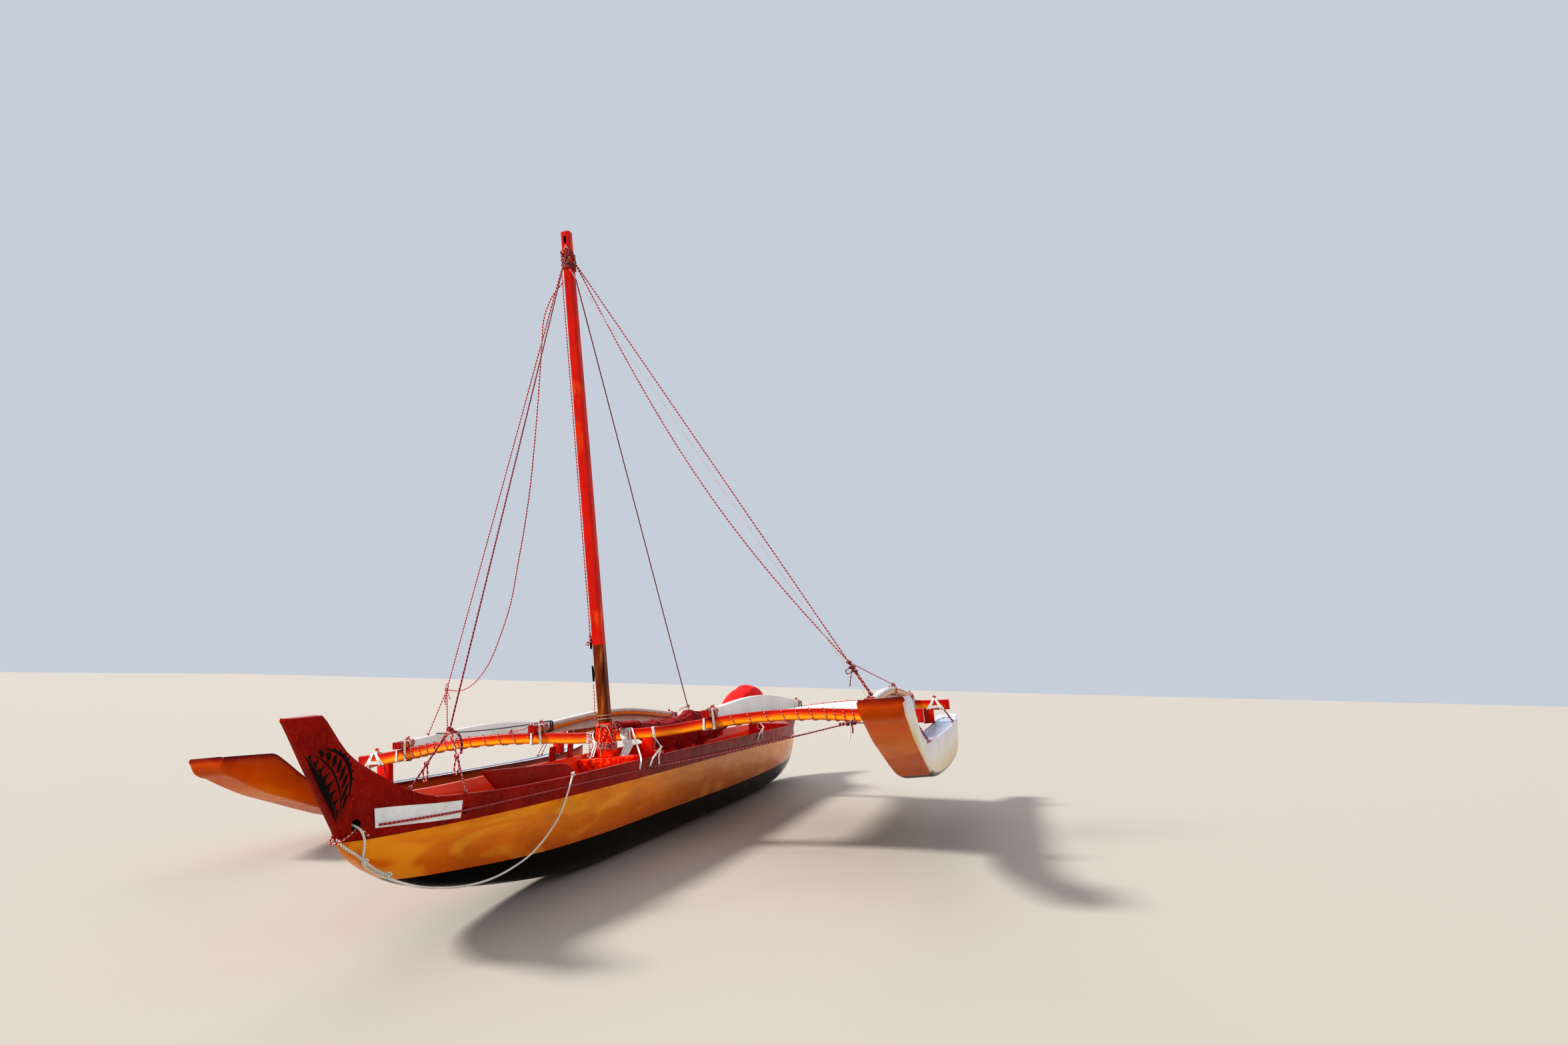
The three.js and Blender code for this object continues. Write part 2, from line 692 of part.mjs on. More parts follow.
// The jaw is fixed to the aft side of the boot, with a pin across for the boom's eye.
function jaw() {
  const at = (x, y) => new THREE.Matrix4().makeTranslation(x, y, GOOSENECK.z);
  const pin = solid(new THREE.CylinderGeometry(9, 9, 96, 16), at(GOOSENECK.x, 0));
  const cheeks = [-34, 34].map((y) => solid(new THREE.BoxGeometry(66, 12, 46), at(GOOSENECK.x + 20, y)));
  const plate = solid(new THREE.BoxGeometry(16, 80, 46), at(GOOSENECK.x + 53.5, 0));
  return geometryOf(union([pin, ...cheeks, plate]));
}

function boomEye() {
  const at = (x) => new THREE.Matrix4().makeTranslation(x, 0, GOOSENECK.z);
  const shank = solid(new THREE.BoxGeometry(79, 30, 34), at(GOOSENECK.x - 39.5));
  const ring = solid(new THREE.CylinderGeometry(20, 20, 30, 20), at(GOOSENECK.x));
  const bore = solid(new THREE.CylinderGeometry(9.6, 9.6, 60, 20), at(GOOSENECK.x));
  return geometryOf(shank.add(ring).subtract(bore));
}

// A board lies on edge in the fore end of the cockpit, along its port side: raked fore end, rounded aft end.
const BOARD = { y: 128, thickness: 20, lean: 0.09 };

function sideBoard() {
  const shape = new THREE.Shape();
  shape.moveTo(2350, 789);
  shape.lineTo(1985, 512);
  shape.lineTo(1300, 500);
  shape.quadraticCurveTo(1190, 505, 1206, 620);
  shape.quadraticCurveTo(1236, 744, 1450, 753);
  shape.quadraticCurveTo(1800, 762, 2350, 789);
  const bevel = { bevelEnabled: true, bevelThickness: 5, bevelSize: 5, bevelOffset: -5, bevelSegments: 1 };
  const geometry = new THREE.ExtrudeGeometry(shape, { depth: BOARD.thickness - 10, curveSegments: 6, ...bevel });
  geometry.rotateX(Math.PI / 2);
  geometry.translate(0, 0, -789);
  geometry.rotateX(BOARD.lean);
  geometry.translate(0, BOARD.y, 789);
  return geometry;
}

// A free line: a round section swept along hand-placed points.
function cord(points, radius, steps) {
  const section = new THREE.Shape();
  section.absarc(0, 0, radius, 0, Math.PI * 2, false);
  const path = new THREE.CatmullRomCurve3(points.map(([x, y, z]) => v3(x, y, z)), false, "centripetal");
  return new THREE.ExtrudeGeometry(section, { steps, extrudePath: path, curveSegments: 4 });
}

const canoe = new THREE.Group();
const hull = new THREE.Group();
const rig = new THREE.Group();
rig.rotation.x = RIG_CANT;
rig.position.z = RIG_ORIGIN_Z;
canoe.add(hull, rig);

function put(group, name, geometry, material) {
  const mesh = new THREE.Mesh(geometry, material);
  mesh.name = name;
  group.add(mesh);
  return mesh;
}

put(hull, "hull_shell", hullShell(), finish(ORANGE, 0.25));
put(hull, "gunwale_port", strake(1), finish(DEEP_RED, 0.3));
put(hull, "gunwale_starboard", strake(-1), finish(DEEP_RED, 0.3));
put(hull, "bow_manu", bowManu(), finish(DEEP_RED, 0.4));
put(hull, "stern_manu", sternManu(), finish(DEEP_RED, 0.4));
put(hull, "bow_plate", bowPlate(), finish(WHITE, 0.5));

const SEATS = [["seat_bow", 2400], ["seat_fore", 1050], ["seat_mid", -1500], ["seat_stern", -4100]];
for (const [name, x] of SEATS) put(hull, name, seat(x, 220), finish(RED, 0.45));

const ENDS = [["front", 0], ["rear", REAR_X]];
const SIDES = [["port", 1], ["starboard", -1]];
for (const [end, x] of ENDS) {
  put(rig, `iako_${end}`, iako(x), finish(FLAME, 0.3));
  for (const [name, side] of SIDES) {
    put(hull, `saddle_${end}_${name}`, saddle(x, side), finish(RED, 0.4));
    put(rig, `pedestal_${end}_${name}`, pedestal(x, side), finish(RED, 0.4));
    put(rig, `peg_${end}_${name}`, peg(x, side), finish(RED, 0.4));
  }
}
for (const [name, side] of SIDES) {
  put(rig, `rail_inner_${name}`, rail(side * RAIL.inner), finish(FLAME, 0.3));
  put(rig, `rail_outer_${name}`, rail(side * RAIL.outer), finish(FLAME, 0.3));
  put(rig, `trampoline_${name}`, trampoline(side), finish(WHITE, 0.7));
  put(rig, `float_${name}`, floatBody(side), finish(ORANGE, 0.25));
}
put(hull, "side_bracket_fore", sideBracket(785), finish(DEEP_RED, 0.4));
put(hull, "side_bracket_aft", sideBracket(500), finish(DEEP_RED, 0.4));

put(rig, "mast_step", stepBoard(), finish(RED, 0.35));
put(rig, "mast_boot", mastBoot(), finish(RED, 0.35));
put(rig, "mast", mastPole(), finish("#5a2417", 0.35));
put(rig, "mast_cleat_lower", mastCleat(640), finish(BLACK, 0.5));
put(rig, "mast_cleat_upper", mastCleat(890), finish(BLACK, 0.5));
put(rig, "forestay", forestay(), finish(ROPE_RED, 0.8));
put(rig, "shroud_port", shroudPort(), finish(ROPE_RED, 0.8));
put(rig, "shroud_starboard", shroudStarboard(), finish(ROPE_RED, 0.8));
put(rig, "topping_lift", toppingLift(), finish(ROPE_RED, 0.8));
put(rig, "boom_jaw", jaw(), finish(BLACK, 0.5));
put(rig, "boom_eye", boomEye(), finish(BLACK, 0.5));
put(rig, "sail_bundle", sailBundle(), finish(CANVAS, 0.85));

put(hull, "side_board", sideBoard(), finish(RED, 0.4));

// The bow line, from the eye in the bow fin, hanging along the port side and up to the gunwale.
const BOW_LINE = [
  [3228, -50, 634],
  [3228, 20, 626],
  [3230, 72, 606],
  [3212, 82, 560],
  [3208, 80, 510],
  [3188, 66, 456],
  [3110, 84, 398],
  [2995, 190, 330],
  [2832, 240, 288],
  [2640, 270, 262],
  [2420, 276, 252],
  [2230, 280, 268],
  [2020, 288, 314],
  [1840, 296, 403],
  [1720, 296, 488],
  [1640, 294, 592],
  [1548, 280, 702],
];
put(hull, "bow_line", cord(BOW_LINE, 6, 48), finish("#d9d3c4", 0.9));

// A slack halyard hangs from the masthead to the knot of the starboard shroud. Rig frame.
const HALYARD = [
  [548, -66, 4240],
  [590, -150, 4110],
  [602, -225, 3930],
  [580, -270, 3680],
  [525, -340, 3330],
  [450, -430, 2960],
  [350, -540, 2610],
  [210, -680, 2320],
  [50, -839, 2054],
  [-100, -1001, 1759],
  [-250, -1197, 1500],
  [-350, -1383, 1266],
  [-440, -1598, 1110],
  [-468, -1740, 1068],
  [-480, -1867, 1084],
];
put(rig, "slack_halyard", cord(HALYARD, 5, 56), finish(ROPE_RED, 0.8));

// The object stands on its keel and its starboard float, with the middle of its box over the origin.
canoe.updateMatrixWorld(true);
const box = new THREE.Box3().setFromObject(canoe, true);
const middle = box.getCenter(new THREE.Vector3());
canoe.position.set(-middle.x, -middle.y, -box.min.z);

export default canoe;
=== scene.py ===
import math

import bmesh
import bpy
import numpy as np
from mathutils import Matrix, Vector, noise as turbulence
from mathutils.bvhtree import BVHTree


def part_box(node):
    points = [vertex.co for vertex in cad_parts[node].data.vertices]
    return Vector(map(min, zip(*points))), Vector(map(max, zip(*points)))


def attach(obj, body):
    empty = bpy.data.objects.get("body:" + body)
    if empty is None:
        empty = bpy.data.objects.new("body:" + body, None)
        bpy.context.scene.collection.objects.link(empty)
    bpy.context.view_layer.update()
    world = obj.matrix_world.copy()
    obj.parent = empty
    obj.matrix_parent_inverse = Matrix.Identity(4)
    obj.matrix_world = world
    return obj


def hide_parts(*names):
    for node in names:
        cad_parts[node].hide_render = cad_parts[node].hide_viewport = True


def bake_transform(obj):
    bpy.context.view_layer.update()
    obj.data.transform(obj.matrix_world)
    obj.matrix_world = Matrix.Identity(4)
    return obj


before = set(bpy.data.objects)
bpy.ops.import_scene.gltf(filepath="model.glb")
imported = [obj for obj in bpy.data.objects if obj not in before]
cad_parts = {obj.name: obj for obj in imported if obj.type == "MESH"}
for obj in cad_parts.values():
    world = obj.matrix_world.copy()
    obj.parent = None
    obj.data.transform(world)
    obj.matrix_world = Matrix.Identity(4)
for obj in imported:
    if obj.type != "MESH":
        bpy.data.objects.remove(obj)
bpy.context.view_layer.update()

# The canoe stands on a beach on its keel and its starboard float. The hull is upright, and the crossbeams,
# floats and mast, lashed on over it, lean to starboard. A place is given in the hull's own frame or in the
# rig's leaning one: x from the front crossbeam to the bow, y to port, z from the keel or the rig's zero.
RIG_LEAN = math.radians(6.47)
RIG_RISE = 0.275
SEAT_TOP = 0.596
front_low, front_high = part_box("iako_front")
shell_low, shell_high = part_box("hull_shell")
hull_zero = Vector((
    (front_low.x + front_high.x) / 2,
    (shell_low.y + shell_high.y) / 2,
    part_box("seat_mid")[1].z - SEAT_TOP,
))


def on_hull(x, y, z):
    return hull_zero + Vector((x, y, z))


def on_rig(x, y, z):
    across = y * math.cos(RIG_LEAN) - z * math.sin(RIG_LEAN)
    up = RIG_RISE + y * math.sin(RIG_LEAN) + z * math.cos(RIG_LEAN)
    return on_hull(x, across, up)


# The camera stands ahead of the port float at eye height, where the photograph was taken from, with the
# photograph's wide lens. The frame is 2352 by 1568.
CAMERA_AT = on_hull(6.9896, 2.9321, 1.3435)
CAMERA_LOOK = Vector((-0.9583, -0.2339, 0.1640)).normalized()
CAMERA_UP = Vector((0.1644, 0.0179, 0.9862))
SENSOR = 36
LENS = 21.02
camera = bpy.data.objects.new("camera", bpy.data.cameras.new("camera"))
bpy.context.scene.collection.objects.link(camera)
camera_right = CAMERA_LOOK.cross(CAMERA_UP).normalized()
turn = Matrix((camera_right, camera_right.cross(CAMERA_LOOK), -CAMERA_LOOK)).transposed()
camera.matrix_world = Matrix.Translation(CAMERA_AT) @ turn.to_4x4()
camera.data.sensor_width = SENSOR
camera.data.lens = LENS
camera.data.clip_end = 200
bpy.context.scene.camera = camera


# Braided line, 10 to 12 mm thick: the bow line is white, and the slack halyard and the stays are red with
# white flecks. Each is a round tube along its route, with the braid's diamonds in its finish.
def new_finish(name, color, roughness, coat=0.0, sheen=0.0):
    finish = bpy.data.materials.new(name)
    finish.use_nodes = True
    shader = finish.node_tree.nodes["Principled BSDF"]
    values = {"Base Color": (*color, 1), "Roughness": roughness}
    values.update({"Coat Weight": coat, "Coat Roughness": 0.08, "Sheen Weight": sheen})
    for socket, value in values.items():
        shader.inputs[socket].default_value = value
    return finish


def node_in(tree, kind, settings=None, inputs=None):
    made = tree.nodes.new(kind)
    for key, value in (settings or {}).items():
        setattr(made, key, value)
    for key, value in (inputs or {}).items():
        if isinstance(value, bpy.types.NodeSocket):
            tree.links.new(value, made.inputs[key])
        else:
            made.inputs[key].default_value = value
    return made


def add(finish, kind, settings=None, inputs=None):
    return node_in(finish.node_tree, "ShaderNode" + kind, settings, inputs)


def shade(finish, socket, value):
    shader = finish.node_tree.nodes["Principled BSDF"]
    finish.node_tree.links.new(value, shader.inputs[socket])


def place(finish, scale=(1, 1, 1)):
    at = add(finish, "TexCoord").outputs["Object"]
    return add(finish, "Mapping", inputs={"Vector": at, "Scale": scale}).outputs[0]


def noise(finish, scale, detail=4, stretch=(1, 1, 1), rough=0.55):
    inputs = {"Vector": place(finish, stretch), "Scale": scale, "Detail": detail, "Roughness": rough}
    return add(finish, "TexNoise", inputs=inputs).outputs["Fac"]


def maths(finish, operation, a, b=0.0):
    return add(finish, "Math", {"operation": operation}, {0: a, 1: b}).outputs[0]


def mix(finish, share, a, b, blend="MIX"):
    made = add(finish, "Mix", {"data_type": "RGBA", "blend_type": blend}, {0: share})
    for index, value in ((6, a), (7, b)):
        if isinstance(value, bpy.types.NodeSocket):
            finish.node_tree.links.new(value, made.inputs[index])
        else:
            made.inputs[index].default_value = (*value, 1)
    return made.outputs[2]


def between(finish, value, low, high, to_low=0.0, to_high=1.0):
    inputs = {"Value": value, "From Min": low, "From Max": high, "To Min": to_low, "To Max": to_high}
    return add(finish, "MapRange", inputs=inputs).outputs[0]


def bump(finish, height, depth, strength=1.0):
    shader = finish.node_tree.nodes["Principled BSDF"]
    before = shader.inputs["Normal"].links
    inputs = {"Height": height, "Distance": depth, "Strength": strength}
    if before:
        inputs["Normal"] = before[0].from_socket
    shade(finish, "Normal", add(finish, "Bump", inputs=inputs).outputs[0])


def new_piece(name, points, faces, smooth=35, paints=None):
    mesh = bpy.data.meshes.new(name)
    mesh.from_pydata([tuple(p) for p in points], [], faces)
    if paints:
        mesh.polygons.foreach_set("material_index", paints)
    piece = bpy.data.objects.new(name, mesh)
    bpy.context.scene.collection.objects.link(piece)
    soften(piece, smooth)
    return piece


def soften(piece, smooth=35):
    shape = bmesh.new()
    shape.from_mesh(piece.data)
    bmesh.ops.remove_doubles(shape, verts=shape.verts, dist=1e-5)
    bmesh.ops.recalc_face_normals(shape, faces=shape.faces)
    shape.to_mesh(piece.data)
    shape.free()
    piece.data.shade_smooth()
    piece.data.set_sharp_from_angle(angle=math.radians(smooth))


def loft(rings, closed=True):
    """The points and faces of a skin over rings of points, with its ends closed if the rings are."""
    count = len(rings[0])
    faces = []
    for i in range(len(rings) - 1):
        for j in range(count if closed else count - 1):
            a, b = i * count + j, i * count + (j + 1) % count
            faces.append((a, b, b + count, a + count))
    if closed:
        faces.append(tuple(range(count - 1, -1, -1)))
        faces.append(tuple(range((len(rings) - 1) * count, len(rings) * count)))
    return [p for ring in rings for p in ring], faces


def fit(piece, slot, *nodes, body="canoe", finish=None):
    if finish:
        piece.data.materials.clear()
        piece.data.materials.append(finish)
    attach(piece, body)
    if nodes:
        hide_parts(*nodes)
    return piece


def curve_through(points, step):
    """Points about one step apart on a smooth curve through the given ones."""
    points = [Vector(p) for p in points]
    ends = [points[0] * 2 - points[1]] + points + [points[-1] * 2 - points[-2]]
    result = []
    for a, b, c, d in zip(ends, ends[1:], ends[2:], ends[3:]):
        count = max(1, round((c - b).length / step))
        ta, tb, tc = (max((q - p).length, 1e-6) ** 0.5 for p, q in ((a, b), (b, c), (c, d)))
        m1 = ((b - a) / ta - (c - a) / (ta + tb) + (c - b) / tb) * tb
        m2 = ((c - b) / tb - (d - b) / (tb + tc) + (d - c) / tc) * tb
        for i in range(count):
            t = i / count
            first = b * (2 * t**3 - 3 * t**2 + 1) + m1 * (t**3 - 2 * t**2 + t)
            result.append(first + c * (3 * t**2 - 2 * t**3) + m2 * (t**3 - t**2))
    return result + [points[-1]]


def tube(name, points, radius, finish, sides=10):
    """A round line along the points, its map going round in u and along in metres in v."""
    rings, lengths = [], [0.0]
    side = None
    for i, p in enumerate(points):
        ahead = points[min(i + 1, len(points) - 1)] - points[max(i - 1, 0)]
        ahead.normalize()
        if side is None:
            side = ahead.orthogonal().normalized()
        side = (side - ahead * side.dot(ahead)).normalized()
        up = ahead.cross(side)
        angles = [2 * math.pi * k / sides for k in range(sides)]
        rings.append([p + (side * math.cos(a) + up * math.sin(a)) * radius for a in angles])
        if i:
            lengths.append(lengths[-1] + (p - points[i - 1]).length)
    verts, faces = loft(rings)
    piece = new_piece(name, verts, faces, 60)
    layer = piece.data.uv_layers.new(name="along")
    for face in piece.data.polygons:
        spots = [piece.data.loops[k].vertex_index for k in face.loop_indices]
        wrap = max(v % sides for v in spots) - min(v % sides for v in spots) > sides / 2
        for k, v in zip(face.loop_indices, spots):
            around = v % sides + (sides if wrap and v % sides < sides / 2 else 0)
            layer.data[k].uv = (around / sides, lengths[min(v // sides, len(lengths) - 1)])
    piece.data.materials.append(finish)
    return piece


def braid(name, base, fleck, share, pitch, strands=4):
    """Crossing strands on a line: fleck strands among base ones, and a bump for each strand."""
    finish = new_finish(name, base, 0.75, sheen=0.2)
    uv = add(finish, "UVMap", {"uv_map": "along"}).outputs[0]
    parts = add(finish, "SeparateXYZ", inputs={0: uv})
    waves = []
    for hand in (1, -1):
        around = maths(finish, "MULTIPLY", parts.outputs[0], strands * hand)
        along = maths(finish, "DIVIDE", parts.outputs[1], pitch)
        waves.append(maths(finish, "FRACT", maths(finish, "ADD", around, along)))
    peaks = [maths(finish, "ABSOLUTE", maths(finish, "SUBTRACT", w, 0.5)) for w in waves]
    over = maths(finish, "LESS_THAN", waves[0], share)
    color = mix(finish, over, base, fleck)
    groove = maths(finish, "MINIMUM", peaks[0], peaks[1])
    # Darker in the grooves between the strands: painted shade.
    painted_shade = between(finish, groove, 0.0, 0.22, 0.45, 1.0)
    grime = between(finish, noise(finish, 9), 0.35, 0.75, 0.78, 1.05)
    color = mix(finish, 1.0, color, maths(finish, "MULTIPLY", painted_shade, grime), "MULTIPLY")
    shade(finish, "Base Color", color)
    bump(finish, groove, 0.002, 0.8)
    return finish


RED_ROPE = braid("red_rope", (0.60, 0.020, 0.018), (0.90, 0.70, 0.62), 0.30, 0.027, 1)
WHITE_ROPE = braid("white_rope", (0.84, 0.79, 0.68), (0.92, 0.88, 0.80), 0.30, 0.030)
DARK_ROPE = braid("dark_rope", (0.26, 0.010, 0.018), (0.62, 0.30, 0.28), 0.16, 0.026, 1)
SIDE_ROPE = braid("side_rope", (0.47, 0.013, 0.014), (0.70, 0.28, 0.25), 0.14, 0.026, 1)
BLACK_ROPE = braid("black_rope", (0.012, 0.012, 0.014), (0.05, 0.05, 0.06), 0.3, 0.02)

BOW_LINE = [
    (3.228, -0.050, 0.634),
    (3.228, 0.020, 0.626),
    (3.230, 0.072, 0.606),
    (3.212, 0.082, 0.560),
    (3.208, 0.080, 0.510),
    (3.188, 0.066, 0.456),
    (3.110, 0.084, 0.398),
    (2.995, 0.190, 0.330),
    (2.832, 0.240, 0.288),
    (2.640, 0.270, 0.262),
    (2.420, 0.276, 0.252),
    (2.230, 0.280, 0.268),
    (2.020, 0.288, 0.314),
    (1.840, 0.296, 0.403),
    (1.720, 0.296, 0.488),
    (1.640, 0.294, 0.592),
    (1.548, 0.280, 0.702),
]
HALYARD = [
    (0.548, -0.066, 4.240),
    (0.590, -0.150, 4.110),
    (0.602, -0.225, 3.930),
    (0.580, -0.270, 3.680),
    (0.525, -0.340, 3.330),
    (0.450, -0.430, 2.960),
    (0.350, -0.540, 2.610),
    (0.210, -0.680, 2.320),
    (0.050, -0.839, 2.054),
    (-0.100, -1.001, 1.759),
    (-0.250, -1.197, 1.500),
    (-0.350, -1.383, 1.266),
    (-0.440, -1.598, 1.110),
    (-0.468, -1.740, 1.068),
    (-0.480, -1.867, 1.084),
]


for name, route, radius, finish, slot, far in (
    ("bow_line_rope", [on_hull(*p) for p in BOW_LINE], 0.006, WHITE_ROPE, "rope_white", "knot"),
    ("slack_halyard_rope", [on_rig(*p) for p in HALYARD], 0.005, RED_ROPE, "rope_red", "knot"),
):
    path = curve_through(route, 0.02)
    line = tube(name, path, radius, finish)
    node = name.removesuffix("_rope")
    fit(line, slot, node)


# The stage is a plain pale floor under soft light: a broad key from high on the left, a weaker light from
# the right and another from behind, and an even pale sky.
FLOOR_SIZE = 90
floor = new_piece("floor", *loft([[Vector((x, y, 0)) for y in (-FLOOR_SIZE, FLOOR_SIZE)]
                                  for x in (-FLOOR_SIZE, FLOOR_SIZE)], closed=False))
floor_finish = new_finish("pale_floor", (0.46, 0.41, 0.35), 0.9)
floor.data.materials.append(floor_finish)
world = bpy.data.worlds.new("pale_sky")
world.use_nodes = True
world.node_tree.nodes["Background"].inputs["Color"].default_value = (0.84, 0.90, 1.0, 1)
world.node_tree.nodes["Background"].inputs["Strength"].default_value = 0.52
bpy.context.scene.world = world
bpy.context.scene.view_settings.view_transform = "Standard"
bpy.context.scene.view_settings.look = "High Contrast"
LAMPS = (
    # name, where the light comes from, strength, angle it spreads over in degrees
    ("key_light", (5.0, -7.5, 7.5), 2.9, 10),
    ("fill_light", (6.0, 8.0, 4.5), 0.45, 50),
    ("back_light", (-8.0, -4.0, 6.0), 0.5, 40),
)
for name, source, strength, spread in LAMPS:
    lamp = bpy.data.objects.new(name, bpy.data.lights.new(name, "SUN"))
    lamp.data.energy = strength
    lamp.data.angle = math.radians(spread)
    lamp.location = source
    lamp.rotation_euler = (-Vector(source)).to_track_quat("-Z", "Y").to_euler()
    bpy.context.scene.collection.objects.link(lamp)


# The hull is a moulded shell with a flat keel and full bilges, open along the cockpit. It is gloss orange
# above a black bottom, with painted highlights streaked along the topsides, and orange-red inside.
def hue(code):
    """A colour as seen on a screen, given as six hex digits, in the shader's own numbers."""
    parts = [int(code[i:i + 2], 16) / 255 for i in (0, 2, 4)]
    return tuple(p / 12.92 if p <= 0.04045 else ((p + 0.055) / 1.055) ** 2.4 for p in parts)


def ramp(finish, value, stops):
    made = add(finish, "ValToRGB", inputs={"Fac": value})
    elements = made.color_ramp.elements
    while len(elements) < len(stops):
        elements.new(0.5)
    for element, (at, color) in zip(elements, stops):
        element.position = at
        element.color = (*color, 1) if len(color) == 3 else color
    return made.outputs["Color"]


def patches(finish, base, color, scale, detail, low, high, most=1.0, stretch=(1, 1, 1)):
    """Another colour over the base in patches, from none of it up to the share most."""
    where = between(finish, noise(finish, scale, detail, stretch), low, high, 0.0, most)
    return mix(finish, where, base, color)


def attribute(finish, name):
    return add(finish, "Attribute", {"attribute_name": name}).outputs["Fac"]


def steps(low, high, count):
    return [low + (high - low) * i / count for i in range(count + 1)]


def smooth_table(rows):
    """A smooth curve through the rows of a table whose first column grows."""
    rows = sorted(rows)
    xs = [row[0] for row in rows]

    def at(x):
        i = min(max(int(np.searchsorted(xs, x)) - 1, 0), len(xs) - 2)
        span = xs[i + 1] - xs[i]
        t = (x - xs[i]) / span
        result = []
        for c in range(1, len(rows[0])):
            slope = [(rows[k + 1][c] - rows[k][c]) / (xs[k + 1] - xs[k]) for k in range(len(xs) - 1)]
            here = (slope[max(i - 1, 0)] + slope[i]) / 2
            after = (slope[i] + slope[min(i + 1, len(slope) - 1)]) / 2
            a, b = rows[i][c], rows[i + 1][c]
            h = (2 * t**3 - 3 * t**2 + 1) * a + (t**3 - 2 * t**2 + t) * span * here
            result.append(h + (3 * t**2 - 2 * t**3) * b + (t**3 - t**2) * span * after)
        return result

    return at


def applied(piece):
    """The piece as its modifiers leave it, as a plain mesh."""
    view = bpy.context.evaluated_depsgraph_get()
    mesh = bpy.data.meshes.new_from_object(piece.evaluated_get(view))
    piece.modifiers.clear()
    piece.data = mesh
    return piece


def cut(piece, cutter):
    tool = piece.modifiers.new("cut", "BOOLEAN")
    tool.object = cutter
    tool.solver = "EXACT"
    tool.material_mode = "TRANSFER"
    applied(piece)
    bpy.data.objects.remove(cutter)
    soften(piece)


HULL_WALL = 0.014
COCKPIT = (-4.650, 2.786)
hull_lines = smooth_table([
    # x, half beam, keel, top of the shell, top of the gunwale
    (-5.750, 0.014, 0.520, 0.566, 0.722),
    (-5.550, 0.074, 0.350, 0.566, 0.719),
    (-5.200, 0.148, 0.190, 0.567, 0.716),
    (-4.700, 0.220, 0.084, 0.569, 0.715),
    (-4.000, 0.262, 0.022, 0.570, 0.715),
    (-3.100, 0.274, 0.000, 0.571, 0.714),
    (-1.500, 0.276, 0.000, 0.570, 0.711),
    (0.000, 0.274, 0.002, 0.566, 0.705),
    (1.000, 0.264, 0.016, 0.564, 0.694),
    (1.700, 0.240, 0.084, 0.562, 0.687),
    (2.300, 0.195, 0.170, 0.558, 0.688),
    (2.700, 0.150, 0.250, 0.557, 0.702),
    (3.000, 0.101, 0.364, 0.557, 0.722),
    (3.200, 0.052, 0.473, 0.557, 0.735),
    (3.290, 0.015, 0.545, 0.558, 0.740),
])
paint_line = smooth_table([
    # x, height where the black bottom ends
    (-5.750, 0.330), (-4.500, 0.273), (-2.100, 0.236), (-0.360, 0.247), (1.100, 0.250),
    (1.860, 0.267), (2.700, 0.317), (2.970, 0.335), (3.290, 0.350),
])


def hull_ring(x, inset=0.0, top=0.0):
    beam, keel, shell, _ = hull_lines(x)
    half = max(beam - inset, 0.004)
    flat = min(0.044, half * 0.3)
    low = keel + inset
    side = []
    for angle in (math.radians(a) for a in steps(0, 90, 22)):
        y = flat + (half - flat) * math.sin(angle) ** 0.82
        side.append((y, low + (shell - low) * (1 - max(math.cos(angle), 0) ** 1.12)))
    if top > shell:
        side.append((half, top))
    return [on_hull(x, y, z) for y, z in side] + [on_hull(x, -y, z) for y, z in reversed(side)]


def mark(piece, name, value):
    """A number at each point of a piece, for its finish to read."""
    layer = piece.data.attributes.new(name, "FLOAT", "POINT")
    layer.data.foreach_set("value", [value(v.co) for v in piece.data.vertices])


def gloss(name, color, roughness=0.22, coat=0.7, peel=0.0002):
    """Gloss paint: faint clouding and specks, duller patches and a little orange peel."""
    finish = new_finish(name, (0.5, 0.5, 0.5), roughness, coat)
    finish.node_tree.nodes["Principled BSDF"].inputs["Specular IOR Level"].default_value = 0.12
    color = color(finish) if callable(color) else mix(finish, 0.0, color, color)
    cloud = between(finish, noise(finish, 3.5), 0.3, 0.7, 0.86, 1.06)
    specks = between(finish, noise(finish, 60, 2), 0.72, 0.80, 1.0, 0.96)
    color = mix(finish, 1.0, color, maths(finish, "MULTIPLY", cloud, specks), "MULTIPLY")
    shade(finish, "Base Color", color)
    dull = between(finish, noise(finish, 14, 5), 0.35, 0.75, roughness - 0.05, roughness + 0.16)
    shade(finish, "Roughness", dull)
    bump(finish, noise(finish, 140, 2), peel, 0.3)
    return finish


def hull_color(finish):
    above = attribute(finish, "above_paint_line")
    edge = maths(finish, "ADD", above, between(finish, noise(finish, 25), 0, 1, -0.002, 0.002))
    side = ramp(finish, between(finish, above, 0.0, 0.32), [
        (0.0, hue("c86206")), (0.35, hue("dc7c06")), (1.0, hue("f0980c")),
    ])
    side = patches(finish, side, hue("b4600a"), 6, 3, 0.42, 0.62, 0.25, (0.5, 1, 4))
    # The pale yellow streaks laid along the topsides are painted highlights, the glints of the gloss.
    stretched = place(finish, (0.55, 1, 2.2))
    glint_streaks = add(finish, "TexNoise", inputs={
        "Vector": stretched, "Scale": 2.1, "Detail": 1.5, "Distortion": 1.6}).outputs["Fac"]
    side = mix(finish, between(finish, glint_streaks, 0.52, 0.62, 0.0, 0.5), side, hue("f2ac2c"))
    dry = between(finish, maths(finish, "GREATER_THAN", edge, 0.0), 0, 1, 0.06, 0.16)
    shade(finish, "Specular IOR Level", dry)
    shade(finish, "Coat Weight", dry)
    bottom = patches(finish, hue("050505"), hue("15120e"), 16, 4, 0.5, 0.8)
    return mix(finish, maths(finish, "GREATER_THAN", edge, 0.0), bottom, side)


HULL_PAINT = gloss("hull_orange_over_black", hull_color, 0.18, 0.22)
INSIDE_PAINT = gloss("inside_orange_red", lambda f: ramp(f, noise(f, 2.0), [
    (0.3, hue("d8380c")), (0.7, hue("ec5410")),
]), 0.34, 0.3)

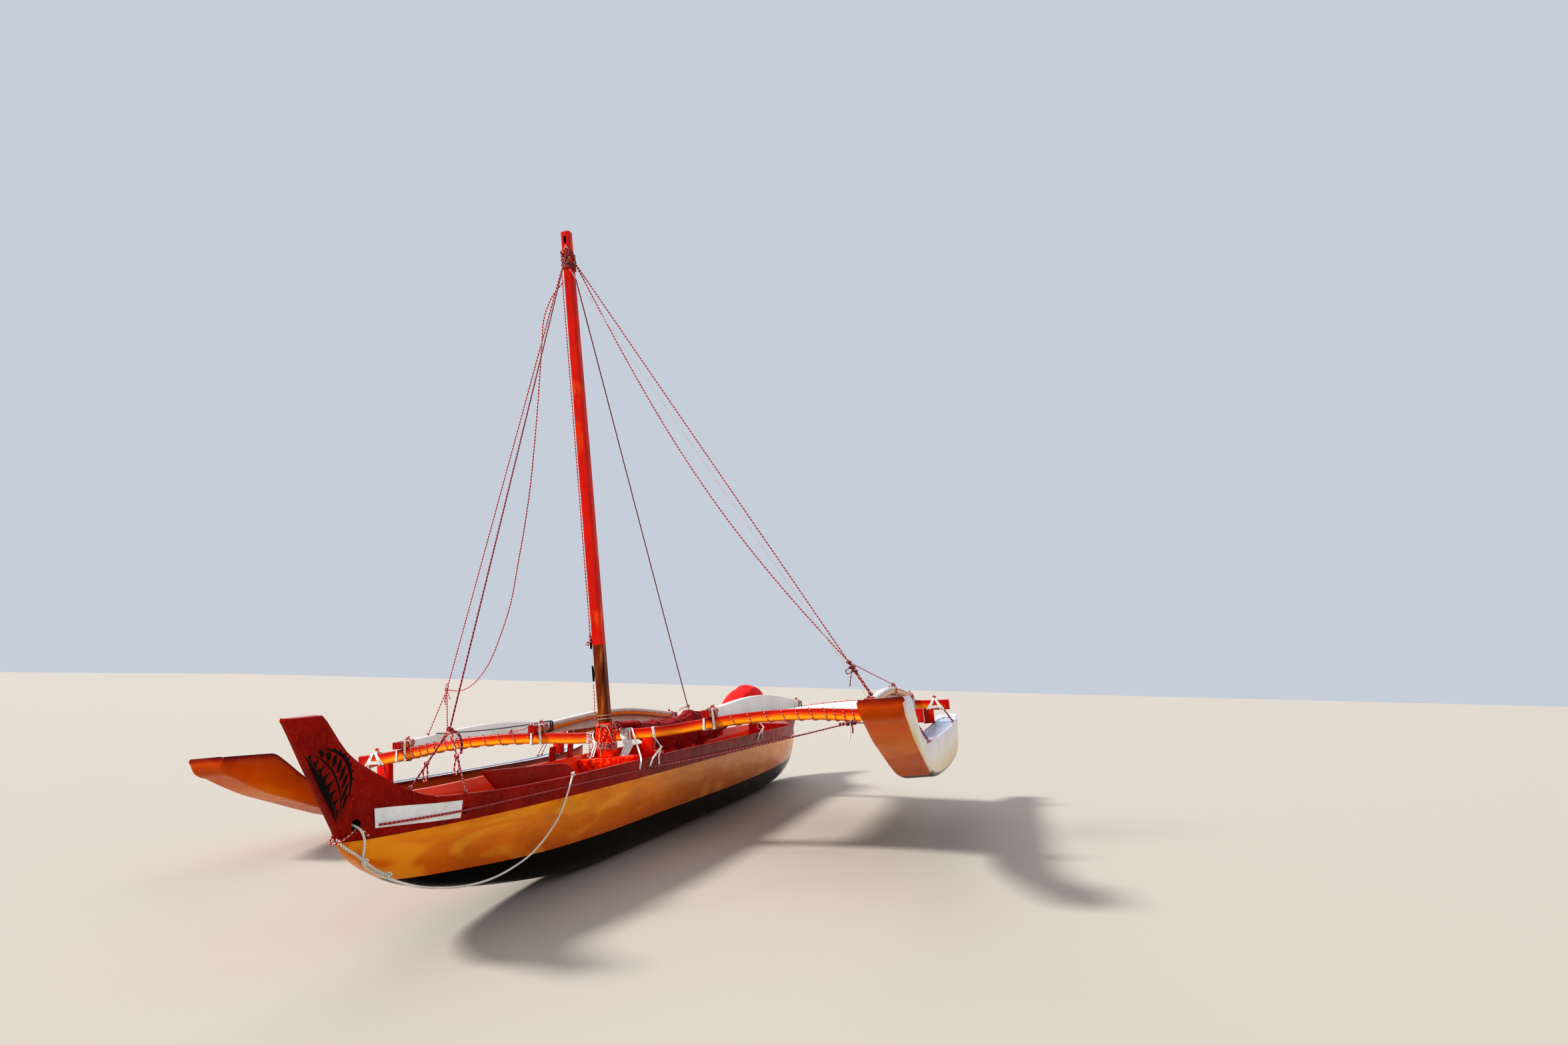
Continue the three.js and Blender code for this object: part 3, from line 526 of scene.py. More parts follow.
shell = new_piece("hull_shell_painted", *loft([hull_ring(x) for x in (
    *steps(-5.750, -4.700, 14), *steps(-4.600, 1.100, 48), *steps(1.200, 3.050, 24), *steps(3.090, 3.290, 6),
)]))
shell.data.materials.append(HULL_PAINT)
well = new_piece("well", *loft([hull_ring(x, HULL_WALL, 0.9) for x in steps(*COCKPIT, 70)]))
well.data.materials.append(INSIDE_PAINT)
cut(shell, well)
for face in shell.data.polygons:
    if face.normal.z > 0.9 and face.center.x < hull_zero.x + COCKPIT[0] + 0.01:
        face.material_index = 1
mark(shell, "above_paint_line", lambda p: p.z - hull_zero.z - paint_line(p.x - hull_zero.x)[0])
fit(shell, "hull_gloss", "hull_shell")


# The band along each topside is a plank of dark red, worn paint that carries the gunwale. Its inner face
# has the colour of the inside.
SIDES = (("port", 1), ("starboard", -1))
STRAKE_THICKNESS = 0.025
STRAKE_FLARE = 0.008


def worn_red(finish):
    base = ramp(finish, noise(finish, 4, 6), [(0.35, hue("800802")), (0.65, hue("a01404"))])
    base = patches(finish, base, hue("a02806"), 26, 7, 0.46, 0.68, 0.6)
    chips = between(finish, noise(finish, 85, 4), 0.62, 0.68)
    base = mix(finish, maths(finish, "MULTIPLY", chips, 0.6), base, hue("c0561a"))
    return patches(finish, base, hue("96321c"), 14, 4, 0.60, 0.72, 0.35, (0.2, 1, 2.5))


BAND_PAINT = gloss("band_dark_red", worn_red, 0.30, 0.05)
for side, hand in SIDES:
    rings = []
    for x in steps(-4.709, 2.786, 90):
        beam, _, low, sheer = hull_lines(x)
        section = [
            (beam + 0.001, low + 0.0003),
            (beam + STRAKE_FLARE, sheer - 0.012),
            (beam + STRAKE_FLARE - 0.002, sheer - 0.004),
            (beam + STRAKE_FLARE - 0.008, sheer),
            (beam + STRAKE_FLARE - STRAKE_THICKNESS + 0.009, sheer),
            (beam + STRAKE_FLARE - STRAKE_THICKNESS + 0.003, sheer - 0.005),
            (beam + 0.001 - STRAKE_THICKNESS, low + 0.0003),
        ]
        rings.append([on_hull(x, hand * y, z) for y, z in section])
    strake = new_piece(f"gunwale_{side}_painted", *loft(rings), 50)
    strake.data.materials.append(BAND_PAINT)
    strake.data.materials.append(INSIDE_PAINT)
    for face in strake.data.polygons:
        face.material_index = int(face.normal.y * hand < -0.5)
    fit(strake, "band_paint", f"gunwale_{side}")


# A carved end piece closes the hull at each end, runs out and rakes up into a thin fin. The bow piece has
# the painter's eye bored through it. Both are the band's dark red, with softly rounded edges.
BOW_EYE = (3.226, 0.627, 0.025)
ON_SHELL = 0.59  # an end piece whose foot is lower stands on the shell's edge and follows it
BOW_MANU = [
    # x, lower edge, half width there, upper edge, half width there
    (2.788, None, None, 0.713, 0.142),
    (2.830, None, None, 0.721, 0.128),
    (2.874, None, None, 0.733, 0.110),
    (2.954, None, None, 0.764, 0.082),
    (3.039, None, None, 0.807, 0.059),
    (3.134, None, None, 0.855, 0.044),
    (3.231, None, None, 0.903, 0.034),
    (3.292, None, None, 0.942, 0.031),
    (3.316, 0.608, 0.019, 0.960, 0.029),
    (3.367, 0.676, 0.020, 1.007, 0.027),
    (3.421, 0.746, 0.020, 1.064, 0.025),
    (3.454, 0.790, 0.020, 1.098, 0.024),
    (3.488, 0.835, 0.019, 1.126, 0.023),
    (3.560, 0.930, 0.019, 1.124, 0.021),
    (3.640, 1.038, 0.018, 1.120, 0.019),
    (3.694, 1.106, 0.016, 1.119, 0.013),
]
STERN_MANU = [
    (-4.711, None, None, 0.721, 0.206),
    (-4.830, None, None, 0.728, 0.168),
    (-4.960, None, None, 0.736, 0.120),
    (-5.110, None, None, 0.750, 0.078),
    (-5.260, None, None, 0.770, 0.054),
    (-5.420, None, None, 0.796, 0.042),
    (-5.580, None, None, 0.828, 0.036),
    (-5.745, None, None, 0.864, 0.032),
    (-5.800, 0.646, 0.020, 0.877, 0.029),
    (-5.870, 0.730, 0.021, 0.894, 0.026),
    (-5.930, 0.800, 0.020, 0.906, 0.022),
    (-5.985, 0.866, 0.019, 0.913, 0.017),
    (-6.014, 0.899, 0.015, 0.912, 0.012),
]


def manu_ring(x, foot, foot_half, top, top_half):
    trim = min(0.007, (top - foot) / 4)
    side = [(foot_half - trim, foot), (foot_half - trim * 0.3, foot + trim * 0.3), (foot_half, foot + trim)]
    for t in steps(0.14, 0.86, 9):
        side.append((top_half + (foot_half - top_half) * (1 - t) ** 2.6, foot + (top - foot) * t))
    side += [(top_half, top - trim), (top_half - trim * 0.3, top - trim * 0.3), (top_half - trim, top)]
    return [on_hull(x, y, z) for y, z in side] + [on_hull(x, -y, z) for y, z in reversed(side)]


def manu_rings(table):
    full = []
    for x, foot, foot_half, top, top_half in table:
        beam, _, low, _ = hull_lines(x)
        full.append((x, foot or low + 0.0015, foot_half or beam + 0.001, top, top_half))
    rings = []
    for a, b in zip(full, full[1:]):
        parts = 3 if abs(b[0] - a[0]) > 0.03 else 1
        for i in range(parts):
            t = i / parts
            row = [p + (q - p) * t for p, q in zip(a, b)]
            if a[1] < ON_SHELL and b[1] < ON_SHELL:
                beam, _, low, _ = hull_lines(row[0])
                row[1:3] = [low + 0.0015, beam + 0.001]
            rings.append(manu_ring(*row))
    return rings + [manu_ring(*full[-1])]


# The bored eye's walls are near black: painted shade inside the hole.
EYE_SHADE = gloss("eye_hole_painted_shade", hue("15100f"), 0.5, 0.0)
bow = new_piece("bow_manu_carved", *loft(manu_rings(BOW_MANU)), 40)
bow.data.materials.append(BAND_PAINT)
angles = [2 * math.pi * k / 40 for k in range(40)]
eye = new_piece("eye", *loft([
    [on_hull(BOW_EYE[0] + BOW_EYE[2] * math.cos(a), y, BOW_EYE[1] + BOW_EYE[2] * math.sin(a)) for a in angles]
    for y in (-0.2, 0.2)
]))
eye.data.materials.append(EYE_SHADE)
cut(bow, eye)
fit(bow, "end_piece_paint", "bow_manu")
stern = new_piece("stern_manu_carved", *loft(manu_rings(STERN_MANU)), 40)
fit(stern, "end_piece_paint", "stern_manu", finish=BAND_PAINT)


# A leaf-shaped panel of geometric ornament is painted in black along the fin's raked edge, on both faces: a
# broad stripe, shark teeth, a row of leaves, stripes and small teeth. It is worn in places.
ORNAMENT_RISE = 0.0006
PANEL_FOOT = Vector((3.333, 0.640))
PANEL_ALONG = Vector((0.6046, 0.7966))
PANEL_ACROSS = Vector((-0.7966, 0.6046))
PANEL_LENGTH = 0.400
fin_tree = BVHTree.FromObject(bow, bpy.context.evaluated_depsgraph_get())


def leaf(v):
    """The panel's width at v along it, as a share of its widest."""
    return max(0.0, math.sin(math.pi * (0.04 + 0.92 * v / PANEL_LENGTH))) ** 0.75


def on_panel(v, u):
    return PANEL_FOOT + PANEL_ALONG * v + PANEL_ACROSS * (0.001 + (u - 0.001) * leaf(v))


def stripe(u, width, low, high):
    return [[on_panel(v, u - width / 2 * leaf(v)), on_panel(v, u + width / 2 * leaf(v))]
            for v in steps(low, high, 60)]


def tooth(v, u, base, rise):
    tip = on_panel(v + base * 0.2, u + rise)
    return [[on_panel(v - base / 2, u), on_panel(v - base / 2, u)],
            [on_panel(v - base * 0.25, u), on_panel(v, u).lerp(tip, 0.35)],
            [on_panel(v, u), on_panel(v, u).lerp(tip, 0.7)],
            [on_panel(v + base * 0.2, u), tip],
            [on_panel(v + base / 2, u), on_panel(v + base / 2, u)]]


def petal(v, u, length, width, lean):
    """A pointed leaf that leans along the row."""
    rows = []
    for t in steps(0, 1, 12):
        swell = width * (1 - abs(2 * t - 1) ** 1.4)
        at = Vector((v + lean * length * t, u + length * t))
        rows.append([on_panel(*(at - Vector((swell, 0)))), on_panel(*(at + Vector((swell, 0))))])
    return rows


strokes = [
    stripe(0.018, 0.034, 0.004, 0.396),
    stripe(0.096, 0.011, 0.016, 0.384),
    stripe(0.181, 0.020, 0.062, 0.343),
]
strokes += [tooth(v, 0.0355, 0.0455, 0.050) for v in steps(0.040, 0.362, 7)]
strokes += [petal(v, 0.105, 0.064, 0.0155, 0.55) for v in steps(0.040, 0.325, 7)]
strokes += [tooth(v, 0.1880, 0.0290, 0.020) for v in steps(0.110, 0.300, 6)]


def worn_black(finish):
    worn = between(finish, noise(finish, 70, 5), 0.60, 0.70)
    return mix(finish, maths(finish, "MULTIPLY", worn, 0.7), hue("060404"), hue("5a0b0e"))


ORNAMENT_PAINT = gloss("ornament_black", worn_black, 0.4, 0.15)
for side, hand in SIDES:
    points, faces = [], []
    for pairs in strokes:
        rows = []
        for pair in pairs:
            spots = []
            for x, z in pair:
                hit, normal, _, _ = fin_tree.ray_cast(on_hull(x, hand * 0.3, z), Vector((0, -hand, 0)))
                spots.append(hit + normal * ORNAMENT_RISE if hit is not None else None)
            if None not in spots:
                rows.append(spots)
        start = len(points)
        points += [p for row in rows for p in row]
        faces += [(start + 2 * i, start + 2 * i + 1, start + 2 * i + 3, start + 2 * i + 2)
                  for i in range(len(rows) - 1)]
    ornament = new_piece(f"fin_ornament_{side}", points, faces)
    for face in ornament.data.polygons:
        if face.normal.y * hand < 0:
            face.flip()
    fit(ornament, "end_piece_paint", finish=ORNAMENT_PAINT)


# Boards and small fittings keep the shape of their solids, with their edges eased by sanding: seats, step
# board, lashing blocks, posts, pegs, brackets and the loose board. The plain white plate keeps sharp edges.
def bevelled(piece, width, segments):
    tool = piece.modifiers.new("bevel", "BEVEL")
    tool.width = width
    tool.segments = segments
    tool.limit_method = "ANGLE"
    tool.angle_limit = math.radians(30)
    applied(piece)
    soften(piece, 50)


def eased(node, width, slot, finish, segments=2, body="canoe"):
    """A part in the shape of its solid, with its edges rounded off to a width."""
    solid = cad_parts[node]
    piece = bpy.data.objects.new(f"{node}_eased", solid.data.copy())
    bpy.context.scene.collection.objects.link(piece)
    shape = bmesh.new()
    shape.from_mesh(piece.data)
    bmesh.ops.remove_doubles(shape, verts=shape.verts, dist=1e-5)
    bmesh.ops.dissolve_limit(shape, angle_limit=math.radians(1), verts=shape.verts, edges=shape.edges)
    shape.to_mesh(piece.data)
    shape.free()
    if width:
        bevelled(piece, width, segments)
    soften(piece, 40)
    return fit(piece, slot, node, body=body, finish=finish)


def sun_red(finish):
    base = ramp(finish, noise(finish, 5, 5), [(0.3, hue("cc1808")), (0.7, hue("e42c0e"))])
    return patches(finish, base, hue("d8562a"), 40, 4, 0.66, 0.74, 0.5)


RED_PAINT = gloss("red_board_paint", sun_red, 0.34, 0.1)
BOOT_PAINT = gloss("boot_red", lambda f: patches(
    f, hue("dc1c08"), hue("ff6c24"), 34, 6, 0.48, 0.62, 0.9), 0.3, 0.1)
for node in ("seat_bow", "seat_fore", "seat_mid", "seat_stern"):
    eased(node, 0.004, "red_wood", RED_PAINT)
eased("mast_step", 0.004, "red_wood", BOOT_PAINT)
for end in ("front", "rear"):
    for side in ("port", "starboard"):
        eased(f"saddle_{end}_{side}", 0.004, "red_wood", RED_PAINT)
        eased(f"pedestal_{end}_{side}", 0.005, "red_wood", RED_PAINT)
        eased(f"peg_{end}_{side}", 0.0015, "red_wood", RED_PAINT)
for node in ("side_bracket_fore", "side_bracket_aft"):
    eased(node, 0.0015, "band_paint", BAND_PAINT)
eased("side_board", 0.003, "red_wood", gloss("loose_board_red", worn_red, 0.3, 0.05))
PLATE_WHITE = gloss("plate_white", lambda f: patches(
    f, hue("e6e4df"), hue("c8c2b8"), 20, 4, 0.5, 0.8, 0.5), 0.45, 0.1)
eased("bow_plate", 0.0, "plate_white", PLATE_WHITE)


# Rope is wound round a timber in square turns. The tree takes a path along the timber's middle, makes a
# coil of that many turns about it, and sweeps the rope's round section along the coil.
def new_tree(name, sockets):
    tree = bpy.data.node_groups.new(name, "GeometryNodeTree")
    tree.interface.new_socket("Geometry", in_out="INPUT", socket_type="NodeSocketGeometry")
    for label, kind in sockets:
        tree.interface.new_socket(label, in_out="INPUT", socket_type=f"NodeSocket{kind}")
    tree.interface.new_socket("Geometry", in_out="OUTPUT", socket_type="NodeSocketGeometry")
    return tree, tree.nodes.new("NodeGroupInput"), tree.nodes.new("NodeGroupOutput")


def grown(tree, name, points, values):
    """The plain mesh that a tree makes from a path through points."""
    mesh = bpy.data.meshes.new(name)
    mesh.from_pydata([tuple(p) for p in points], [(i, i + 1) for i in range(len(points) - 1)], [])
    piece = bpy.data.objects.new(name, mesh)
    bpy.context.scene.collection.objects.link(piece)
    tool = piece.modifiers.new("grow", "NODES")
    tool.node_group = tree
    for item in tree.interface.items_tree:
        if item.in_out == "INPUT" and item.name in values:
            tool[item.identifier] = values[item.name]
    applied(piece)
    piece.data.name = name
    return piece


coil_tree, given, made = new_tree("wound_rope", [
    ("Turns", "Float"), ("Half Width", "Float"), ("Half Depth", "Float"), ("Rope Radius", "Float"),
    ("Side", "Vector"), ("Finish", "Material"),
])
TURN_STEPS = 24
SQUARENESS = 7.0


def calc(operation, a, b=0.0):
    inputs = {0: a} if b is None else {0: a, 1: b}
    return node_in(coil_tree, "ShaderNodeMath", {"operation": operation}, inputs).outputs[0]


def vector_calc(operation, a, b, second=1):
    node = node_in(coil_tree, "ShaderNodeVectorMath", {"operation": operation}, {0: a, second: b})
    return node.outputs[0]


def flattened(wave, half):
    return calc("POWER", calc("ABSOLUTE", calc("DIVIDE", wave, given.outputs[half]), None), SQUARENESS)


path_curve = node_in(coil_tree, "GeometryNodeMeshToCurve", inputs={0: given.outputs["Geometry"]}).outputs[0]
count = calc("ADD", calc("MULTIPLY", given.outputs["Turns"], float(TURN_STEPS)), 1.0)
coil = node_in(coil_tree, "GeometryNodeCurvePrimitiveLine").outputs[0]
coil = node_in(coil_tree, "GeometryNodeResampleCurve", inputs={"Curve": coil, "Count": count}).outputs[0]
share = coil_tree.nodes.new("GeometryNodeSplineParameter").outputs["Factor"]
on_path = node_in(coil_tree, "GeometryNodeSampleCurve", inputs={"Curves": path_curve, "Factor": share})
angle = calc("MULTIPLY", calc("MULTIPLY", share, given.outputs["Turns"]), 2 * math.pi)
cosine, sine = calc("COSINE", angle, None), calc("SINE", angle, None)
wide, deep = flattened(cosine, "Half Width"), flattened(sine, "Half Depth")
reach = calc("POWER", calc("ADD", wide, deep), -1 / SQUARENESS)
up = vector_calc("CROSS_PRODUCT", on_path.outputs["Tangent"], given.outputs["Side"])
beside = vector_calc("SCALE", given.outputs["Side"], calc("MULTIPLY", cosine, reach), "Scale")
over = vector_calc("SCALE", up, calc("MULTIPLY", sine, reach), "Scale")
place_at = vector_calc("ADD", vector_calc("ADD", beside, over), on_path.outputs["Position"])
coil = node_in(coil_tree, "GeometryNodeSetPosition",
               inputs={"Geometry": coil, "Position": place_at}).outputs[0]
section = node_in(coil_tree, "GeometryNodeCurvePrimitiveCircle",
                  inputs={"Resolution": 8, "Radius": given.outputs["Rope Radius"]}).outputs[0]
kept = []
for curve, output in ((coil, "Length"), (section, "Factor")):
    keep = coil_tree.nodes.new("GeometryNodeCaptureAttribute")
    keep.capture_items.new("FLOAT", "kept")
    coil_tree.links.new(curve, keep.inputs[0])
    coil_tree.links.new(coil_tree.nodes.new("GeometryNodeSplineParameter").outputs[output], keep.inputs[1])
    kept.append(keep)
swept = node_in(coil_tree, "GeometryNodeCurveToMesh", inputs={
    "Curve": kept[0].outputs[0], "Profile Curve": kept[1].outputs[0], "Fill Caps": True}).outputs[0]
round_and_along = {0: kept[1].outputs[1], 1: kept[0].outputs[1]}
along = node_in(coil_tree, "ShaderNodeCombineXYZ", inputs=round_and_along).outputs[0]
swept = node_in(coil_tree, "GeometryNodeStoreNamedAttribute", {"data_type": "FLOAT2", "domain": "CORNER"},
                {"Geometry": swept, "Name": "along", "Value": along}).outputs[0]
swept = node_in(coil_tree, "GeometryNodeSetMaterial",
                inputs={"Geometry": swept, "Material": given.outputs["Finish"]}).outputs[0]
swept = node_in(coil_tree, "GeometryNodeRealizeInstances", inputs={0: swept}).outputs[0]
coil_tree.links.new(swept, made.inputs[0])


def wound(name, path, side, turns, half_width, half_depth, radius, finish):
    values = {"Turns": turns, "Half Width": half_width + radius, "Half Depth": half_depth + radius,
              "Rope Radius": radius, "Side": tuple(Vector(side).normalized()), "Finish": finish}
    piece = grown(coil_tree, name, path, values)
    piece.data.shade_smooth()
    return piece


# A crossbeam is a laminated timber, level over the hull, arched outboard of it and bent down to the floats.
# Its paint goes from red on top to amber below, and the ends are red all round.
REAR_X = -3.130
BEAMS = (("front", 0.0), ("rear", REAR_X))
BEAM_WIDTH = 0.074
BEAM_REACH = 2.400
BEAM_DEPTH, BEAM_END_DEPTH = 0.084, 0.104
DEEPER_FROM = 1.5
beam_top_table = smooth_table([
    (0.000, 0.612), (0.350, 0.614), (0.640, 0.636), (0.940, 0.655), (1.250, 0.660), (1.560, 0.648),
    (1.870, 0.618), (2.190, 0.589), (2.400, 0.580),
])


def beam_top(y):
    return beam_top_table(abs(y))[0]


def eased_step(value, low, high):
    """From 0 at low to 1 at high, eased at both."""
    t = min(max((value - low) / (high - low), 0), 1)
    return t * t * (3 - 2 * t)


def beam_depth(y):
    return BEAM_DEPTH + (BEAM_END_DEPTH - BEAM_DEPTH) * eased_step(abs(y), DEEPER_FROM, BEAM_REACH)


def rounded(width, height, radius, corner_steps=4):
    points = []
    for sx, sy, start in ((1, 1, 0), (-1, 1, 90), (-1, -1, 180), (1, -1, 270)):
        for angle in (math.radians(start + a) for a in steps(0, 90, corner_steps)):
            points.append((sx * (width / 2 - radius) + radius * math.cos(angle),
                           sy * (height / 2 - radius) + radius * math.sin(angle)))
    return points


def even_light(piece):
    """Wide faces keep their own light beside narrow rounded edges."""
    tool = piece.modifiers.new("light", "WEIGHTED_NORMAL")
    tool.keep_sharp = True
    return applied(piece)


def in_rig(p):
    """A point of the canoe's frame, given back in the rig's."""
    q = p - hull_zero
    y, z = q.y, q.z - RIG_RISE
    across = y * math.cos(RIG_LEAN) + z * math.sin(RIG_LEAN)
    return Vector((q.x, across, z * math.cos(RIG_LEAN) - y * math.sin(RIG_LEAN)))


def beam_color(finish):
    level = attribute(finish, "face_up")
    waver = between(finish, noise(finish, 6), 0.3, 0.7, -0.12, 0.12)
    color = ramp(finish, between(finish, maths(finish, "ADD", level, waver), -1, 1), [
        (0.00, hue("e8760c")), (0.30, hue("ffae20")), (0.52, hue("f06a12")), (0.74, hue("cc2810")),
        (1.00, hue("ac180e")),
    ])
    ends = between(finish, attribute(finish, "to_end"), 0.02, 0.30, 1.0, 0.0)
    color = mix(finish, ends, color, hue("b3150d"))
    return patches(finish, color, hue("7a3318"), 55, 5, 0.68, 0.72, 0.6)


BEAM_PAINT = gloss("beam_red_to_amber", beam_color, 0.22, 0.25)
for end, x in BEAMS:
    rings = []
    for y in steps(-BEAM_REACH, BEAM_REACH, 120):
        middle = beam_top(y) - beam_depth(y) / 2
        rings.append([on_rig(x + u, y, middle + v) for u, v in rounded(BEAM_WIDTH, beam_depth(y), 0.012)])
    beam = new_piece(f"iako_{end}_painted", *loft(rings), 50)
    beam.data.materials.append(BEAM_PAINT)

    def level(p):
        q = in_rig(p)
        return (q.z - beam_top(q.y)) / beam_depth(q.y) * 2 + 1

    mark(beam, "face_up", level)
    mark(beam, "to_end", lambda p: BEAM_REACH - abs(in_rig(p).y))
    fit(even_light(beam), "beam_paint", f"iako_{end}")


# Two rails a side lie on the crossbeams and arch up between them. They are orange, with red ends.
RAIL = 0.058
RAIL_INNER, RAIL_OUTER = 0.740, 1.990
RAIL_PLACES = (("inner", RAIL_INNER), ("outer", RAIL_OUTER))
RAIL_OVERHANG = 0.105
RAIL_ARCH = 0.086
RAIL_GAP = 0.0015
RAIL_AFT, RAIL_FORE = REAR_X - RAIL_OVERHANG, RAIL_OVERHANG


def rail_low(x, y):
    t = min(max(x / REAR_X, 0), 1)
    return beam_top(y) + RAIL_GAP + RAIL_ARCH * math.sin(math.pi * t) ** 1.15


def rail_middle(x, y):
    """Height of a rail's middle. A rail lies on the higher edge where a beam's top slopes under it."""
    rise = abs(beam_top(y + RAIL / 2) - beam_top(y - RAIL / 2)) / 2
    return rail_low(x, y) + rise + RAIL / 2


def rail_color(finish):
    level = attribute(finish, "face_up")
    color = ramp(finish, between(finish, level, -1, 1), [
        (0.0, hue("dd7a12")), (0.55, hue("ec9c26")), (0.85, hue("d4541a")), (1.0, hue("c9431a")),
    ])
    ends = between(finish, attribute(finish, "to_end"), 0.02, 0.16, 1.0, 0.0)
    return mix(finish, ends, color, hue("a8140d"))


RAIL_PAINT = gloss("rail_orange", rail_color, 0.22, 0.25)
for place_name, y in RAIL_PLACES:
    for side, hand in SIDES:
        rings = []
        for x in (RAIL_AFT, RAIL_AFT + 0.03, *steps(REAR_X - 0.04, 0.04, 60), RAIL_FORE - 0.03, RAIL_FORE):
            middle = rail_middle(x, y)
            rings.append([on_rig(x, hand * y + u, middle + v) for u, v in rounded(RAIL, RAIL, 0.008)])
        rail = new_piece(f"rail_{place_name}_{side}_painted", *loft(rings), 50)
        rail.data.materials.append(RAIL_PAINT)
        mark(rail, "face_up", lambda p: (in_rig(p).z - rail_middle(in_rig(p).x, y)) / (RAIL / 2))
        mark(rail, "to_end", lambda p: min(in_rig(p).x - RAIL_AFT, RAIL_FORE - in_rig(p).x))
        fit(even_light(rail), "beam_paint", f"rail_{place_name}_{side}")


# Each trampoline is one sheet of white coated cloth, stretched between its rails and both crossbeams. Its
# long edges turn up the rails and are folded over them, and its ends are laced to the beams.
CLOTH = 0.0014
FLOOR_HIGH = 0.008
RAIL_CLEAR = RAIL / 2 + 0.0022
TRAMPOLINE_LAPS = {"port": 0.022, "starboard": 0.033}
TRAMPOLINE_SAG = 0.034
TRAMPOLINE_GAP = 0.006


def canvas(name, color, shadow, weave=900, sheen=0.3, roughness=0.72):
    """Woven cloth: a fine weave, soft creases, and grey where it has been handled and rained on."""
    finish = new_finish(name, color, roughness, sheen=sheen)
    wide = between(finish, noise(finish, 2.2, 5), 0.35, 0.72, 0.0, 0.5)
    fine = between(finish, noise(finish, 26, 5), 0.5, 0.8, 0.0, 0.4)
    base = mix(finish, maths(finish, "MAXIMUM", wide, fine), color, shadow)
    threads = []
    for direction in ("X", "Y"):
        wave = add(finish, "TexWave", {"wave_type": "BANDS", "bands_direction": direction},
                   {"Vector": place(finish), "Scale": weave / 6.28, "Distortion": 0.4})
        threads.append(wave.outputs["Fac"])
    cross = maths(finish, "MULTIPLY", threads[0], threads[1])
    # The weave also tints the colour: painted shade between the threads, a touch of painted light where they
    # cross.
    shade(finish, "Base Color", mix(finish, 1.0, base, between(finish, cross, 0, 1, 0.93, 1.02), "MULTIPLY"))
    bump(finish, noise(finish, 11, 6, (1, 1, 1), 0.6), 0.004, 0.6)
    bump(finish, cross, 0.0004, 0.5)
    return finish


WHITE_CANVAS = canvas("trampoline_white", hue("ded8d2"), hue("b5a89c"))


def crease(x, y, scale, depth):
    """Shallow creases of stretched cloth, the same on every run."""
    along = math.sin(x * scale + 3 * math.sin(y * 2.1))
    return depth * (along * math.sin(y * scale * 0.7 + 2 * math.sin(x * 1.3)))


def over_rail(y, top):
    """The sheet's line from one side of a rail to the other."""
    left, right = y - RAIL_CLEAR, y + RAIL_CLEAR
    line = [(left, top - 0.006), (left + 0.006, top + 0.0022)]
    line += [(v, top + 0.0022) for v in steps(y - 0.015, y + 0.015, 3)]
    return line + [(right - 0.006, top + 0.0022), (right, top - 0.006)]


def pucker(x, late=0):
    """Small puckers where the sheet turns up a rail, one every 55 mm."""
    return 0.0014 * math.sin(x * 2 * math.pi / 0.055 + late)


for side, hand in SIDES:
    near, far = RAIL_INNER + RAIL_CLEAR, RAIL_OUTER - RAIL_CLEAR
    floor_start, floor_end = beam_top(near) - FLOOR_HIGH, beam_top(far) - FLOOR_HIGH
    fore = -BEAM_WIDTH / 2 - TRAMPOLINE_GAP
    aft = REAR_X - fore
    rings = []
    for x in steps(aft, fore, 110):
        t = (x - aft) / (fore - aft)
        sag = TRAMPOLINE_SAG * max(math.sin(math.pi * t), 0) ** 0.8
        inner, outer = rail_middle(x, RAIL_INNER) + RAIL / 2, rail_middle(x, RAIL_OUTER) + RAIL / 2
        lap = TRAMPOLINE_LAPS[side] + 0.004 * math.sin(31 * x) + 0.003 * math.sin(83 * x)
        ring = [(RAIL_INNER - RAIL_CLEAR, inner - lap)] + over_rail(RAIL_INNER, inner)
        for s in steps(0.12, 0.9, 5):
            ring.append((near + 0.0008 + pucker(x) * s, inner - 0.006 + (floor_start - inner + 0.006) * s))
        for s in steps(0.0, 1.0, 26):
            y = near + 0.004 + (far - near - 0.008) * s
            pull = crease(x, y, 9, 0.0018) * math.sin(math.pi * s) + crease(x + 3, y, 23, 0.0009)
            ring.append((y, beam_top(y) - FLOOR_HIGH - sag * math.sin(math.pi * s) + pull))
        for s in steps(0.1, 0.88, 5):
            ring.append((far - 0.0008 - pucker(x, 1) * (1 - s), floor_end + (outer - 0.006 - floor_end) * s))
        ring += over_rail(RAIL_OUTER, outer) + [(RAIL_OUTER + RAIL_CLEAR, outer - lap)]
        rings.append([on_rig(x, hand * y, z) for y, z in ring])
    sheet = new_piece(f"trampoline_{side}_cloth", *loft(rings, closed=False), 60)
    if sum(f.normal.z * f.area for f in sheet.data.polygons) < 0:
        sheet.data.flip_normals()
    tool = sheet.modifiers.new("thickness", "SOLIDIFY")
    tool.thickness = CLOTH
    tool.offset = 1.0
    applied(sheet)
    fit(sheet, "net_fabric", f"trampoline_{side}", finish=WHITE_CANVAS)
